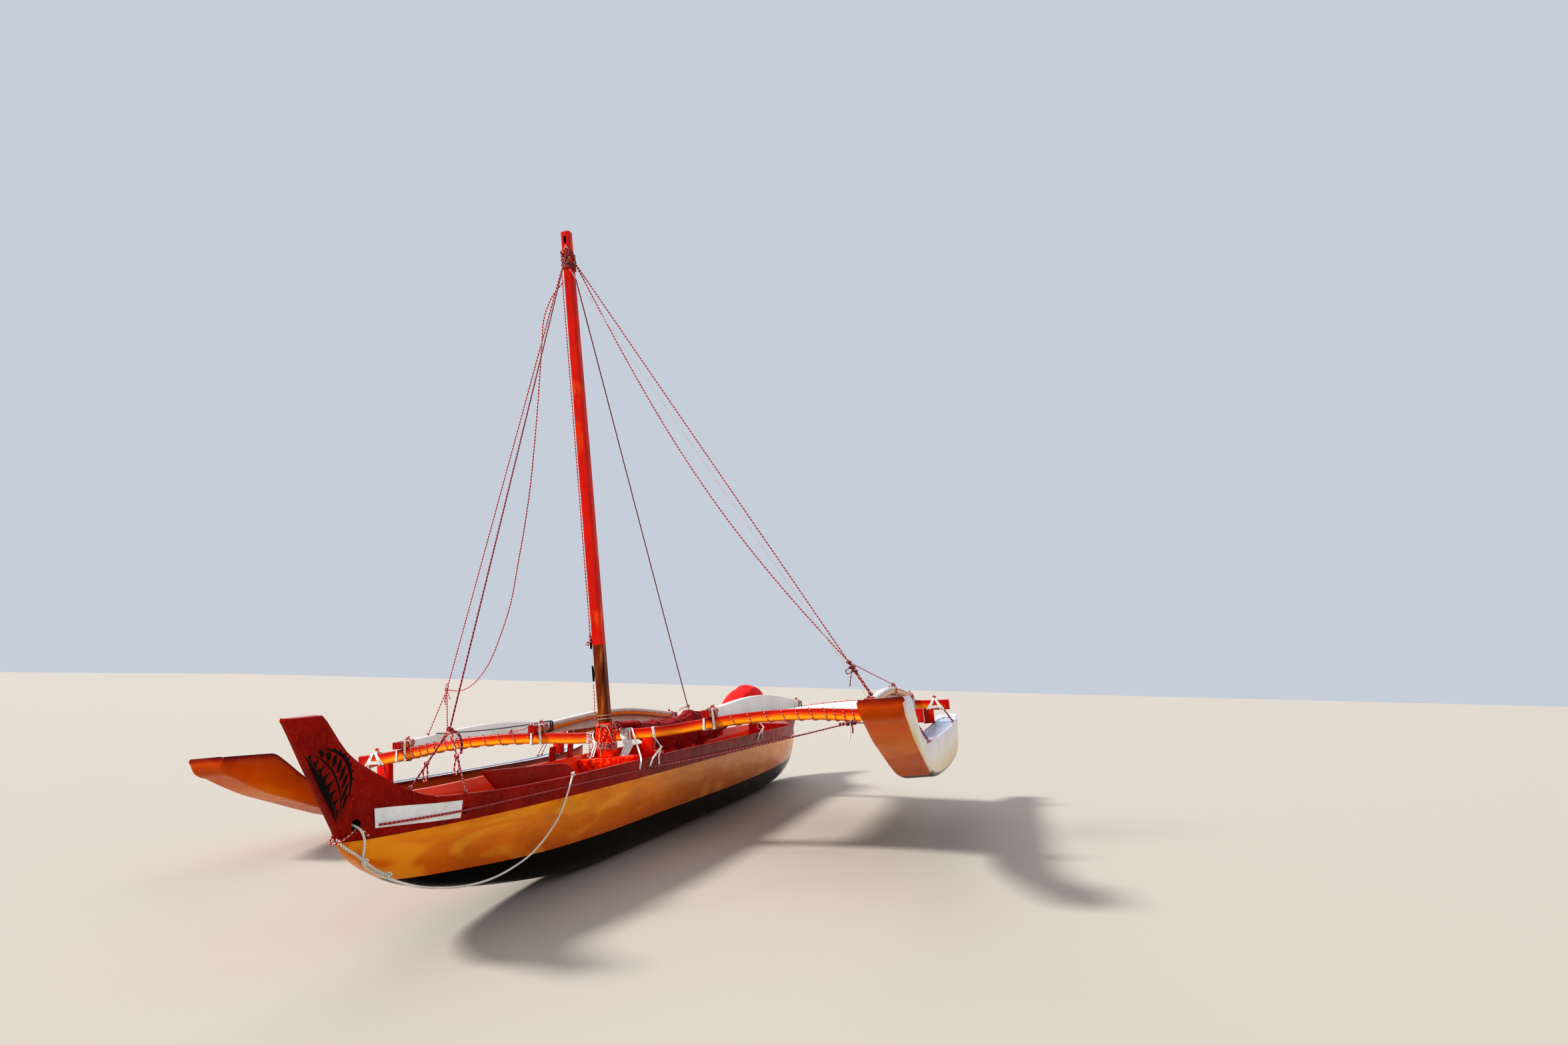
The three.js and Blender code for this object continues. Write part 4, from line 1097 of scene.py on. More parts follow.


# The floats are moulded boxes with rounded chines. The prow's underside is a broad ramp. The ramp and the
# inboard side are orange, fading to dark red at the deck's edge; the outboard side is cream with painted
# reflections of sky and sand on it, the deck pale.
FLOAT_Y = 2.316
FLOAT_RIM = 0.034
FLOAT_DECK_SUNK = 0.012
RECESS = (-3.640, 0.420)
RECESS_ROUND = 0.22
OUTBOARD_FACES = range(6, 15)
BLACK_UP, BLACK_FORE = 0.030, 0.30
float_lines = smooth_table([
    # x, half width of the deck, half width of the bottom, z of the bottom, z of the deck
    (1.674, 0.134, 0.127, 0.646, 0.690),
    (1.655, 0.135, 0.128, 0.597, 0.690),
    (1.560, 0.135, 0.127, 0.546, 0.689),
    (1.440, 0.134, 0.126, 0.488, 0.687),
    (1.300, 0.133, 0.125, 0.426, 0.684),
    (1.200, 0.132, 0.124, 0.388, 0.676),
    (1.080, 0.131, 0.123, 0.350, 0.606),
    (0.900, 0.130, 0.122, 0.292, 0.486),
    (0.700, 0.130, 0.120, 0.228, 0.402),
    (0.450, 0.130, 0.118, 0.156, 0.352),
    (0.150, 0.129, 0.116, 0.103, 0.332),
    (-0.200, 0.128, 0.114, 0.066, 0.328),
    (-0.700, 0.126, 0.112, 0.034, 0.327),
    (-1.500, 0.126, 0.110, 0.005, 0.326),
    (-2.200, 0.126, 0.110, -0.004, 0.327),
    (-2.800, 0.126, 0.109, 0.006, 0.332),
    (-3.200, 0.125, 0.106, 0.036, 0.346),
    (-3.500, 0.123, 0.100, 0.084, 0.368),
    (-3.720, 0.117, 0.090, 0.140, 0.392),
    (-3.850, 0.104, 0.076, 0.188, 0.408),
])


def float_section(x):
    deck, bottom, low, high = float_lines(x)
    ends = max(0.0, min((x - RECESS[0]) / RECESS_ROUND, (RECESS[1] - x) / RECESS_ROUND, 1.0))
    sunk = (deck - FLOAT_RIM) * math.sqrt(1 - (1 - ends) ** 2)
    depth = FLOAT_DECK_SUNK * min(1.0, sunk * 30)
    chine = min(0.026, (high - low) * 0.3)
    edge = min(0.009, (high - low) * 0.2)
    side = [(max(sunk - 0.010, 0.0), high - depth), (sunk, high - depth * 0.1), (sunk + 0.002, high)]
    side += [(deck - edge + edge * math.sin(a), high - edge + edge * math.cos(a))
             for a in (math.radians(d) for d in steps(0, 90, 5))]
    low_corner = (bottom + 0.010, low + chine * 1.4), (bottom, low + chine * 0.1), (bottom - 0.024, low)
    for t in (0.25, 0.5, 0.75):
        side.append((deck + (low_corner[0][0] - deck) * t + 0.004 * math.sin(math.pi * t),
                     high - edge + (low_corner[0][1] - high + edge) * t))
    for t in steps(0, 1, 7):
        side.append(tuple((1 - t) ** 2 * a + 2 * t * (1 - t) * b + t * t * c for a, b, c in zip(*low_corner)))
    return side


def float_color(finish):
    below = attribute(finish, "below_deck")
    waver = between(finish, noise(finish, 5), 0.3, 0.7, -0.010, 0.010)
    fade = ramp(finish, between(finish, maths(finish, "ADD", below, waver), 0, 0.34), [
        (0.0, hue("560b1d")), (0.05, hue("86180a")), (0.14, hue("c05004")), (0.55, hue("d46604")),
        (1.0, hue("e88a0a")),
    ])
    fade = patches(finish, fade, hue("a84a0a"), 3, 3, 0.42, 0.66, 0.35, (0.6, 1, 2))
    keel = attribute(finish, "black_bottom")
    return mix(finish, maths(finish, "GREATER_THAN", keel, 0.0), fade, hue("23211a"))


def float_side_color(finish):
    level = between(finish, attribute(finish, "below_deck"), 0.0, 0.34)
    # The cream is the side's paint; the lavender at the top, the gold turning brown low down and the upright
    # streaks are painted reflections of sky and sand.
    cream = ramp(finish, level, [
        (0.0, hue("d0cad2")), (0.35, hue("dcd2c4")), (0.75, hue("d2b67e")), (1.0, hue("b08040")),
    ])
    cream = patches(finish, cream, hue("d8c6a4"), 3, 3, 0.45, 0.7, 0.2, (1, 1, 0.4))
    keel = attribute(finish, "black_bottom")
    return mix(finish, maths(finish, "GREATER_THAN", keel, 0.0), cream, hue("3a372c"))


FLOAT_PAINT = gloss("float_orange", float_color, 0.26, 0.10)
FLOAT_SIDE = gloss("float_cream", float_side_color, 0.24, 0.2, 0.00002)
FLOAT_DECK = gloss("float_deck_grey_blue", lambda f: patches(
    f, hue("a9b6c8"), hue("9c9fb4"), 6, 5, 0.4, 0.7), 0.42, 0.15)
FLOAT_EDGE = gloss("float_edge_white", lambda f: patches(
    f, hue("cfcdd2"), hue("aca6a6"), 12, 5, 0.5, 0.8), 0.25, 0.6)
for side, hand in SIDES:
    stations = [
        *steps(-3.850, -3.640, 5), *steps(-3.615, -3.420, 8), *steps(-3.350, 0.150, 46),
        *steps(0.200, 0.420, 9), *steps(0.460, 1.040, 14), *steps(1.070, 1.260, 8),
        *steps(1.300, 1.640, 9), 1.655, 1.666, 1.674,
    ]
    rings = []
    for x in stations:
        half_ring = float_section(x)
        pair = half_ring + [(-y, z) for y, z in reversed(half_ring)]
        rings.append([on_rig(x, hand * FLOAT_Y + y, z) for y, z in pair])
    around = len(rings[0])
    cream_side = [(k if hand > 0 else around - 2 - k) in OUTBOARD_FACES for k in range(around)]
    paints = [int(cream) for _ in stations[1:] for cream in cream_side] + [0, 0]
    body = new_piece(f"float_{side}_moulded", *loft(rings), 40, paints)
    for paint in (FLOAT_PAINT, FLOAT_SIDE, FLOAT_DECK, FLOAT_EDGE):
        body.data.materials.append(paint)
    turn_back = Matrix.Rotation(-RIG_LEAN, 3, "X")
    for face in body.data.polygons:
        normal, middle = turn_back @ face.normal, in_rig(face.center)
        high = float_lines(middle.x)[3]
        if normal.z > 0.5 and middle.z > high - 0.016:
            face.material_index = 2 if middle.z < high - 0.004 else 3

    def black_bottom(p):
        q = in_rig(p)
        return BLACK_UP - (q.z - float_lines(q.x)[2]) if q.x < BLACK_FORE else -1.0

    mark(body, "below_deck", lambda p: float_lines(in_rig(p).x)[3] - in_rig(p).z)
    mark(body, "black_bottom", black_bottom)
    fit(even_light(body), "float_gloss", f"float_{side}")


# The mast is a hollow square pole with rounded corners, red above and worn to brown varnish where it is
# handled. It has a slot for the halyard's sheave under its top, and stands in a boot on the step board.
MAST_RAKE = math.radians(4)
MAST_X, MAST_FOOT, MAST_LENGTH = 0.296, 0.421, 4.228
MAST_WIDTH, MAST_TIP, MAST_ROUND = 0.086, 0.078, 0.020
TAPER_FROM = 2.2


def mast_spot(up, aft=0.0, port=0.0):
    return on_rig(MAST_X + up * math.sin(MAST_RAKE) - aft * math.cos(MAST_RAKE), port,
                  MAST_FOOT + up * math.cos(MAST_RAKE) + aft * math.sin(MAST_RAKE))


def mast_size(up):
    return MAST_WIDTH + (MAST_TIP - MAST_WIDTH) * eased_step(up, TAPER_FROM, MAST_LENGTH)


def mast_color(finish):
    up = attribute(finish, "up")
    height = maths(finish, "ADD", up, between(finish, noise(finish, 30, 3), 0, 1, -0.008, 0.008))
    red = ramp(finish, noise(finish, 3, 6, (1, 1, 0.2)), [(0.3, hue("b4140a")), (0.7, hue("d62c0e"))])
    grain = ramp(finish, noise(finish, 14, 6, (3, 3, 0.25)), [
        (0.30, hue("4a1d12")), (0.52, hue("7c3a12")), (0.68, hue("a8651a")),
    ])
    top_edge = between(finish, height, 0.852, 0.862)
    # The lighter orange streaks running up the red are painted highlight.
    red = patches(finish, red, hue("de5312"), 9, 6, 0.54, 0.66, 0.8, (1, 1, 0.35))
    color = mix(finish, top_edge, grain, red)
    return patches(finish, color, hue("5a1610"), 48, 5, 0.66, 0.70, 0.7, (1, 1, 0.4))


MAST_PAINT = gloss("mast_red_over_brown", mast_color, 0.26, 0.2)
# The slot's walls are near black: painted shade inside the slot.
SLOT_SHADE = gloss("sheave_slot_painted_shade", hue("1c0f0c"), 0.6, 0.0)
rings = []
for up in steps(0.005, MAST_LENGTH, 60):
    size = mast_size(up)
    rings.append([mast_spot(up, -u, v) for u, v in rounded(size, size, MAST_ROUND, 6)])
mast = new_piece("mast_painted", *loft(rings), 50)
mast.data.materials.append(MAST_PAINT)
slot_at = MAST_LENGTH - 0.070
slot = new_piece("slot", *loft([[mast_spot(slot_at + v, aft, u) for u, v in rounded(0.020, 0.062, 0.009)]
                                for aft in (-0.07, 0.07)]))
slot.data.materials.append(SLOT_SHADE)
cut(mast, slot)
mark(mast, "up", lambda p: (p - mast_spot(0)).length)
fit(even_light(mast), "mast_varnish", "mast")
angles = [math.radians(15 * k) for k in range(24)]
sheave = new_piece("mast_sheave", *loft([
    [mast_spot(slot_at + r * math.sin(a), r * math.cos(a), y) for a in angles]
    for y, r in ((-0.0085, 0.024), (-0.007, 0.027), (-0.002, 0.021),
                 (0.002, 0.021), (0.007, 0.027), (0.0085, 0.024))
]), 40)
fit(sheave, "black_fitting", finish=gloss("sheave_black", hue("17181a"), 0.3, 0.4))
eased("mast_boot", 0.010, "red_wood", BOOT_PAINT, 3)
FITTING = gloss("fitting_black", hue("141414"), 0.45, 0.1)
for node in ("mast_cleat_lower", "mast_cleat_upper", "boom_jaw"):
    eased(node, 0.003, "black_fitting", FITTING)
eased("boom_eye", 0.002, "black_fitting", FITTING, body="sail_boom")


# The furled sail lies with its boom and gaff under a red cloth cover. Ties draw the cover in, its slack
# hangs in swags below, and at the stern the rolled head of the sail fills it out into a dome.
sail_lines = smooth_table([
    # x, top, bottom, half width
    (0.110, 0.683, 0.626, 0.040),
    (0.040, 0.680, 0.622, 0.062),
    (-0.100, 0.678, 0.620, 0.074),
    (-0.300, 0.680, 0.560, 0.084),
    (-0.550, 0.677, 0.470, 0.092),
    (-0.800, 0.673, 0.410, 0.098),
    (-1.260, 0.684, 0.356, 0.102),
    (-1.600, 0.730, 0.346, 0.104),
    (-1.880, 0.714, 0.352, 0.106),
    (-2.300, 0.700, 0.400, 0.108),
    (-2.700, 0.706, 0.500, 0.110),
    (-2.950, 0.758, 0.592, 0.122),
    (-3.150, 0.836, 0.622, 0.138),
    (-3.400, 0.920, 0.618, 0.148),
    (-3.650, 0.968, 0.616, 0.152),
    (-3.880, 0.956, 0.620, 0.146),
    (-4.060, 0.906, 0.640, 0.138),
    (-4.180, 0.830, 0.690, 0.090),
])
TIES = (-0.240, -0.680, -1.140, -1.600, -2.060, -2.520, -2.960)
CLEAR_OF_BEAM = 0.20
COVER_HEAD = -4.10
COVER_POINTS = 84
SHADED_TO, SUNLIT_FROM = -2.70, -3.20


def fold(x, angle, depth):
    """How far folds draw the cover in at a place round its girth. They run along it and fan from the ties."""
    near_tie = min(abs(x - tie) for tie in TIES)
    spread = 1 - math.exp(-(near_tie / 0.10) ** 2)
    sway = 1.6 * math.sin(2.3 * x) + 0.7 * math.sin(7.1 * x + 1)
    long_folds = 0.5 + 0.5 * math.sin(7 * angle + sway + 1.3 * math.sin(3 * angle + 2.1 * x))
    small_folds = 0.5 + 0.5 * math.sin(17 * angle + 2.6 * sway + 4.0 * math.sin(1.7 * x))
    gathers = (1 - spread) * (0.5 + 0.5 * math.sin(24 * angle)) * 0.6
    soft = 0.5 + 0.5 * turbulence.noise(Vector((x * 5, math.cos(angle) * 1.3, math.sin(angle) * 1.3)))
    drawn = gathers * 0.4 + 0.35 * (1 - spread)
    return depth * (0.50 * long_folds * spread + 0.16 * small_folds + 0.30 * soft + drawn)


def at_beam(x):
    """Whether the cover lies on a crossbeam there."""
    return min(abs(x), abs(x - REAR_X)) < CLEAR_OF_BEAM


def bundle_ring(x):
    top, bottom, half = sail_lines(x)
    middle = max((top + bottom) / 2, top - half * 1.1)
    ring = []
    for angle in steps(0, 2 * math.pi, COVER_POINTS)[:-1]:
        up = math.sin(angle)
        height = (top - middle) if up > 0 else (middle - bottom)
        least = min(half, height)
        depth = min(0.018, least * 0.22) * (0.5 if at_beam(x) else 1.0)
        if up < -0.2:
            depth *= 1 + 1.1 * min(1, (middle - bottom) * 3)
        share = 1 - fold(x, angle, depth) / max(least, 0.03)
        ring.append(on_rig(x, half * share * math.cos(angle), middle + height * share * up))
    return ring


HELD_BY_TIE = 0.030
COVER_SLACK = 0.030
COVER_MOVES = 0.014
SETTLING_FRAMES = 18


def settled(piece):
    """The cover let go as slack cloth between its ties, over a soft filling, until it has settled."""
    def held(p):
        x = in_rig(p).x
        return at_beam(x) or min(abs(x - tie) for tie in TIES) < HELD_BY_TIE or x < COVER_HEAD

    start = [v.co.copy() for v in piece.data.vertices]
    piece.vertex_groups.new(name="held").add([i for i, p in enumerate(start) if held(p)], 1.0, "REPLACE")
    cloth = piece.modifiers.new("cover_cloth", "CLOTH")
    cloth.settings.vertex_group_mass = "held"
    cloth.settings.quality = 6
    cloth.settings.mass = 0.25
    cloth.settings.bending_stiffness = 0.15
    cloth.settings.shrink_min = -COVER_SLACK
    cloth.settings.use_pressure = True
    cloth.settings.uniform_pressure_force = 0.4
    cloth.settings.effector_weights.gravity = 0.5
    cloth.collision_settings.use_collision = False
    cloth.point_cache.frame_end = SETTLING_FRAMES
    for moment in range(1, SETTLING_FRAMES + 1):
        bpy.context.scene.frame_set(moment)
    applied(piece)
    for v, was in zip(piece.data.vertices, start):
        move = v.co - was
        v.co = was + move * min(1.0, COVER_MOVES / max(move.length, 1e-6))
    piece.vertex_groups.clear()
    bpy.context.scene.frame_set(1)
    soften(piece, 80)


def cover_color(finish):
    sun = between(finish, attribute(finish, "sunlit"), 0.0, 1.0)
    deep = mix(finish, noise(finish, 5, 5), hue("8a0810"), hue("a20d14"))
    bright = mix(finish, noise(finish, 7, 5), hue("d81410"), hue("ee2418"))
    color = mix(finish, sun, deep, bright)
    return patches(finish, color, hue("b0202a"), 2.4, 5, 0.5, 0.75, 0.3)


COVER = canvas("sail_cover_red", hue("a90f1c"), hue("7c0a14"), 700, 0.0, 0.9)
shade(COVER, "Base Color", cover_color(COVER))
bundle = new_piece("sail_cover_bundle", *loft([bundle_ring(x) for x in (
    *steps(-4.180, -4.100, 8), *steps(-4.085, -2.900, 64),
    *steps(-2.880, 0.060, 150), *steps(0.070, 0.110, 4),
)]), 80)
settled(bundle)
mark(bundle, "sunlit", lambda p: min(1.0, max(0.0, (SHADED_TO - in_rig(p).x) / (SHADED_TO - SUNLIT_FROM))))
fit(bundle, "cover_fabric", "sail_bundle", body="sail_boom", finish=COVER)


# A tie of flat red webbing goes round the cover at each place where it is drawn in. The cloth rises beside
# it, so it is set a little proud of where the cover started.
TIE_WIDTH, TIE_THICKNESS = 0.024, 0.0022
TIE_LIFT = 0.0030


def joined(name, parts):
    """Parts as one piece, each keeping its own finish."""
    with bpy.context.temp_override(active_object=parts[0], selected_editable_objects=parts):
        bpy.ops.object.join()
    parts[0].name = name
    parts[0].data.name = name
    return parts[0]


def band(name, points, outward, width, thickness, finish):
    """A flat band along points, lying against a surface whose outward direction is given at each."""
    rings = []
    for i, (p, out) in enumerate(zip(points, outward)):
        ahead = (points[min(i + 1, len(points) - 1)] - points[max(i - 1, 0)]).normalized()
        out = (out - ahead * out.dot(ahead)).normalized()
        across = ahead.cross(out) * width / 2
        lift = out * thickness
        trim = across * 0.94
        rings.append([p - across, p + across, p + across + lift * 0.6, p + trim + lift, p - trim + lift,
                      p - across + lift * 0.6])
    piece = new_piece(name, *loft(rings), 50)
    layer = piece.data.uv_layers.new(name="along")
    lengths = [0.0]
    for a, b in zip(points, points[1:]):
        lengths.append(lengths[-1] + (b - a).length)
    for loop in piece.data.loops:
        row, corner = divmod(loop.vertex_index, 6)
        layer.data[loop.index].uv = (float(corner in (0, 4, 5)), lengths[min(row, len(lengths) - 1)])
    piece.data.materials.append(finish)
    return piece


def webbing(name, color, shadow):
    finish = new_finish(name, color, 0.75, sheen=0.3)
    uv = add(finish, "UVMap", {"uv_map": "along"}).outputs[0]
    parts = add(finish, "SeparateXYZ", inputs={0: uv})
    rib = maths(finish, "SINE", maths(finish, "MULTIPLY", parts.outputs[1], 2 * math.pi / 0.0035))
    edge = maths(finish, "ABSOLUTE", maths(finish, "SUBTRACT", parts.outputs[0], 0.5))
    base = patches(finish, color, shadow, 30, 5, 0.45, 0.75, 0.8)
    # Darker between the ribs and toward the band's edges: painted shade.
    shade_between_ribs = between(finish, rib, -1, 1, 0.86, 1.0)
    painted_shade = maths(finish, "MULTIPLY", shade_between_ribs, between(finish, edge, 0.42, 0.5, 1.0, 0.85))
    shade(finish, "Base Color", mix(finish, 1.0, base, painted_shade, "MULTIPLY"))
    bump(finish, rib, 0.0006, 0.6)
    return finish


TIE_WEB = webbing("tie_red", hue("9c1019"), hue("6e0c12"))
WHITE_WEB = webbing("lashing_white", hue("efece6"), hue("b9aa98"))
ties = []
for x in TIES:
    ring = bundle_ring(x)
    middle = sum(ring, Vector()) / len(ring)
    loop = curve_through(ring[::3] + ring[:1], 0.02)
    out = [(p - middle).normalized() for p in loop]
    loop = [p + o * TIE_LIFT for p, o in zip(loop, out)]
    ties.append(band("tie", loop, out, TIE_WIDTH, TIE_THICKNESS, TIE_WEB))
fit(joined("sail_cover_ties", ties), "cover_fabric", body="sail_boom")


# The stays are braided line: each is tied round the masthead, runs down to a knot, and is made fast by two
# legs. The topping lift holds the bundle's back; its knot and loose ends go with the boom when it is lifted.
STAY = 0.005


def ringed(points, radius, finish, sides=8):
    """A line that closes on itself."""
    return tube("ring", points + points[:2], radius, finish, sides)


def knot(at, axis, size, radius, finish):
    axis = axis.normalized()
    a = axis.orthogonal().normalized()
    b = axis.cross(a)
    points = []
    for t in steps(0, 2 * math.pi, 54)[:-1]:
        u, v, w = math.sin(t) + 2 * math.sin(2 * t), math.cos(t) - 2 * math.cos(2 * t), -math.sin(3 * t)
        points.append(at + (a * u * 0.8 + b * v * 0.8 + axis * w * 1.3) * size / 3)
    return ringed(points, radius, finish)


def bowed(a, b, count, aside=Vector((0, 0, 0))):
    """Points from one place to another, bowed aside in the middle."""
    return [a.lerp(b, t) + aside * math.sin(math.pi * t) for t in steps(0, 1, count)]


def stay(name, head, tied_at, knot_at, feet, parts_down, finish):
    """A stay with its legs and its knots. Each foot comes with the number of parts of its leg."""
    down = (knot_at - head).normalized()
    lines = [tube(name, bowed(head, knot_at, parts_down), STAY, finish, 8)]
    lines += [tube(name, bowed(knot_at, foot, count), STAY, finish, 8) for foot, count in feet]
    for at, size in ((knot_at, 0.017), *((foot, 0.012) for foot, _ in feet), (tied_at, 0.014)):
        lines.append(knot(at, down, size, STAY, finish))
    fit(joined(f"{name}_rope", lines), "rope_red", name)


head_fore = mast_spot(4.0, -0.052)
fore_knot = on_rig(2.361, 0, 0.734)
FORE_FOOT_X = 2.550
beam_at, _, _, sheer_at = hull_lines(FORE_FOOT_X)
fore_feet = [on_hull(FORE_FOOT_X, hand * (beam_at - 0.004), sheer_at + 0.012) for hand in (1, -1)]
stay("forestay", head_fore, head_fore + Vector((-0.002, 0, 0)), fore_knot, [(foot, 12) for foot in fore_feet],
     60, DARK_ROPE)

masthead = in_rig(mast_spot(3.96))
head_port, head_star = (on_rig(*(masthead + Vector((0, y, 0)))) for y in (0.054, -0.054))
port_foot = on_rig(-0.150, 2.000, beam_top(2.0) + 0.110)
port_back = on_rig(-1.660, 2.000, beam_top(2.0) + 0.174)
port_knot = head_port.lerp(port_foot, 0.93)
stay("shroud_port", head_port, head_port, port_knot, [(port_foot, 8), (port_back, 20)], 80, RED_ROPE)
star_knot = on_rig(-0.480, -1.885, 1.085)
star_feet = [on_rig(x, -RAIL_OUTER, rail_low(x, RAIL_OUTER) + 0.080) for x in (-0.350, -0.640)]
stay("shroud_starboard", head_star, head_star, star_knot, [(foot, 8) for foot in star_feet], 80, RED_ROPE)

lift_head, lift_foot = mast_spot(4.0, 0.052), on_rig(-1.600, 0, 0.742)
lift = tube("topping_lift_rope", bowed(lift_head, lift_foot, 90), STAY, DARK_ROPE, 8)
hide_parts("topping_lift")
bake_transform(lift)
lift_parts = [knot(lift_foot + Vector((0, 0, 0.006)), Vector((1, 0, 0.6)), 0.020, STAY, RED_ROPE)]
for u, v in ((0.11, 0.04), (0.17, -0.03)):
    ahead = [lift_foot + Vector((t * u, t * v, 0.006 - 0.030 * t * t)) for t in steps(0, 1, 10)]
    lift_parts.append(tube("lift_end", ahead, 0.0045, RED_ROPE, 8))
fit(joined("lift_lines", lift_parts), "rope_red", body="sail_boom")


# Red line is wound round the crossbeams between the rails, closer toward the floats. It passes through the
# hem of the trampoline and holds its ends to the beams.
LACE = 0.0037
LACE_START = 0.800
LACE_RUNS = (
    # number of turns, how far apart
    (4, 0.135), (3, 0.110), (4, 0.070),
)


def beam_halves():
    """Each half of each crossbeam: the end's name, its x, the side's name and hand."""
    return [(end, x, side, hand) for end, x in BEAMS for side, hand in SIDES]


for end, x, side, hand in beam_halves():
    coils = []
    start = LACE_START
    for turns, pitch in LACE_RUNS:
        stop = start + turns * pitch
        half_depth = beam_depth((start + stop) / 2) / 2
        middle = [on_rig(x, hand * y, beam_top(y) - beam_depth(y) / 2) for y in steps(start, stop, 24)]
        coils.append(wound("lace", middle, (1, 0, 0), turns, BEAM_WIDTH / 2, half_depth, LACE, RED_ROPE))
        start = stop
    fit(joined(f"lacing_{end}_{side}", coils), "rope_red")


# Each rail is held down on each crossbeam by two crossed loops of white webbing, hauled tight and then
# wrapped in red line behind the beam, with the line's end knotted on top.
WEB_THICK, WEB_STEP = 0.0016, 0.008
LOOP_WIDTH = 0.020
LOOP_SPREAD = 0.044
WRAP_FROM, WRAP_TO = 0.048, 0.096


def strap(corners, width):
    """A band in the rig through corners, each a place and the outward direction there."""
    lean = Matrix.Rotation(RIG_LEAN, 3, "X")
    points, outward = [], []
    for (p, out_p), (q, out_q) in zip(corners, corners[1:]):
        a, b = on_rig(*p), on_rig(*q)
        count = max(2, round((b - a).length / WEB_STEP))
        for t in steps(0, 1, count)[:-1]:
            points.append(a.lerp(b, t))
            outward.append((lean @ Vector(out_p).lerp(Vector(out_q), eased_step(t, 0, 1))).normalized())
    points.append(on_rig(*corners[-1][0]))
    outward.append((lean @ Vector(corners[-1][1])).normalized())
    inner = [p * 0.6 + (before + after) * 0.2 for before, p, after in zip(points, points[1:], points[2:])]
    return band("strap", [points[0], *inner, points[-1]], outward, width, WEB_THICK, WHITE_WEB)


def crossed_loop(x, y, k):
    """One loop: up the beam's fore face beside the rail, over the rail to its other side, and back."""
    low = beam_top(y) - beam_depth(y) - 0.002
    high, rail_top = beam_top(y) + 0.002, rail_middle(x, y) + RAIL / 2 + 0.004
    face, side = BEAM_WIDTH / 2 + 0.002, RAIL / 2 + 0.0045
    foot = ((x + face, y + k * LOOP_SPREAD, low), (1, 0, -1))
    return strap([
        foot,
        ((x + face, y + k * (side + 0.004), high), (1, k * 0.4, 0.3)),
        ((x + face * 0.8, y + k * side, rail_top - 0.008), (0.2, k, 0.6)),
        ((x + face * 0.6, y + k * side * 0.8, rail_top), (0, k * 0.4, 1)),
        ((x - face * 0.6, y - k * side * 0.8, rail_top), (0, -k * 0.4, 1)),
        ((x - face * 0.8, y - k * side, rail_top - 0.008), (-0.2, -k, 0.6)),
        ((x - face, y - k * (side + 0.004), high), (-1, -k * 0.4, 0.3)),
        ((x - face, y - k * LOOP_SPREAD, low), (-1, 0, -1)),
        foot,
    ], LOOP_WIDTH)


def turned(corners, hand):
    """The same corners on the other side of the boat."""
    return [((x, hand * y, z), (a, hand * b, c)) for (x, y, z), (a, b, c) in corners]


for end, x, side, hand in beam_halves():
    for place_name, y in RAIL_PLACES:
        webs = [crossed_loop(x, y, k) for k in (1, -1)]
        for web in webs if hand < 0 else ():
            for v in web.data.vertices:
                q = in_rig(v.co)
                v.co = on_rig(q.x, -q.y, q.z)
            web.data.flip_normals()
        fit(joined(f"rail_lashing_{place_name}_{end}_{side}", webs), "rope_white")
        inward = -1 if end == "front" else 1
        level = rail_middle(x + inward * 0.075, y)
        wrap_path = [on_rig(x + inward * u, hand * y, level) for u in steps(WRAP_FROM, WRAP_TO, 6)]
        wraps = wound("wraps", wrap_path, (0, 1, 0), 5, RAIL / 2 + 0.004, RAIL / 2 + 0.004, 0.0045, RED_ROPE)
        tail_at = on_rig(x + inward * 0.070, hand * (y + 0.006), level + RAIL / 2 + 0.018)
        lump = knot(tail_at, Vector((1, 0.3, 0)), 0.020, 0.0045, RED_ROPE)
        fit(joined(f"rail_wraps_{place_name}_{end}_{side}", [wraps, lump]), "rope_red")


# At each beam's end white webbing runs down from the peg on both faces like a letter A and passes under the
# beam, with a cross turn over it. Red tails tie the beam down to the float's deck.
PEG_Y = 2.248
LEG_SPREADS = (-0.086, -0.056, 0.060, 0.090)  # how far each leg's foot is from the peg, along the beam
TAIL_SPREAD = 0.088


def beam_low(y):
    return beam_top(y) - beam_depth(y)


def peg_leg(x, i, spread):
    """Half of the letter A: from the peg down one face, under the beam and up the other."""
    face, top, low = BEAM_WIDTH / 2 + 0.002, beam_top(PEG_Y), beam_low(PEG_Y + spread) - 0.002
    apex, shoulder = PEG_Y + spread * 0.22, PEG_Y + spread * 0.28
    down = [
        ((0.006, PEG_Y + spread * 0.10, top + 0.012), (0.3, 0, 1)),
        ((face - 0.004, apex, top + 0.003), (0.5, 0, 0.9)),
        ((face, shoulder, top - 0.008), (1, 0, 0)),
        ((face + 0.0016 * (i % 2), PEG_Y + spread, low + 0.004), (1, 0, -0.2)),
        ((face - 0.006, PEG_Y + spread * 1.02, low), (0.3, 0, -1)),
    ]
    up = [((-u, y, z), (-a, b, c)) for (u, y, z), (a, b, c) in reversed(down)]
    up[1] = ((-face, PEG_Y + spread, low + 0.004), (-1, 0, -0.2))
    return [((x + u, y, z), out) for (u, y, z), out in down + up]


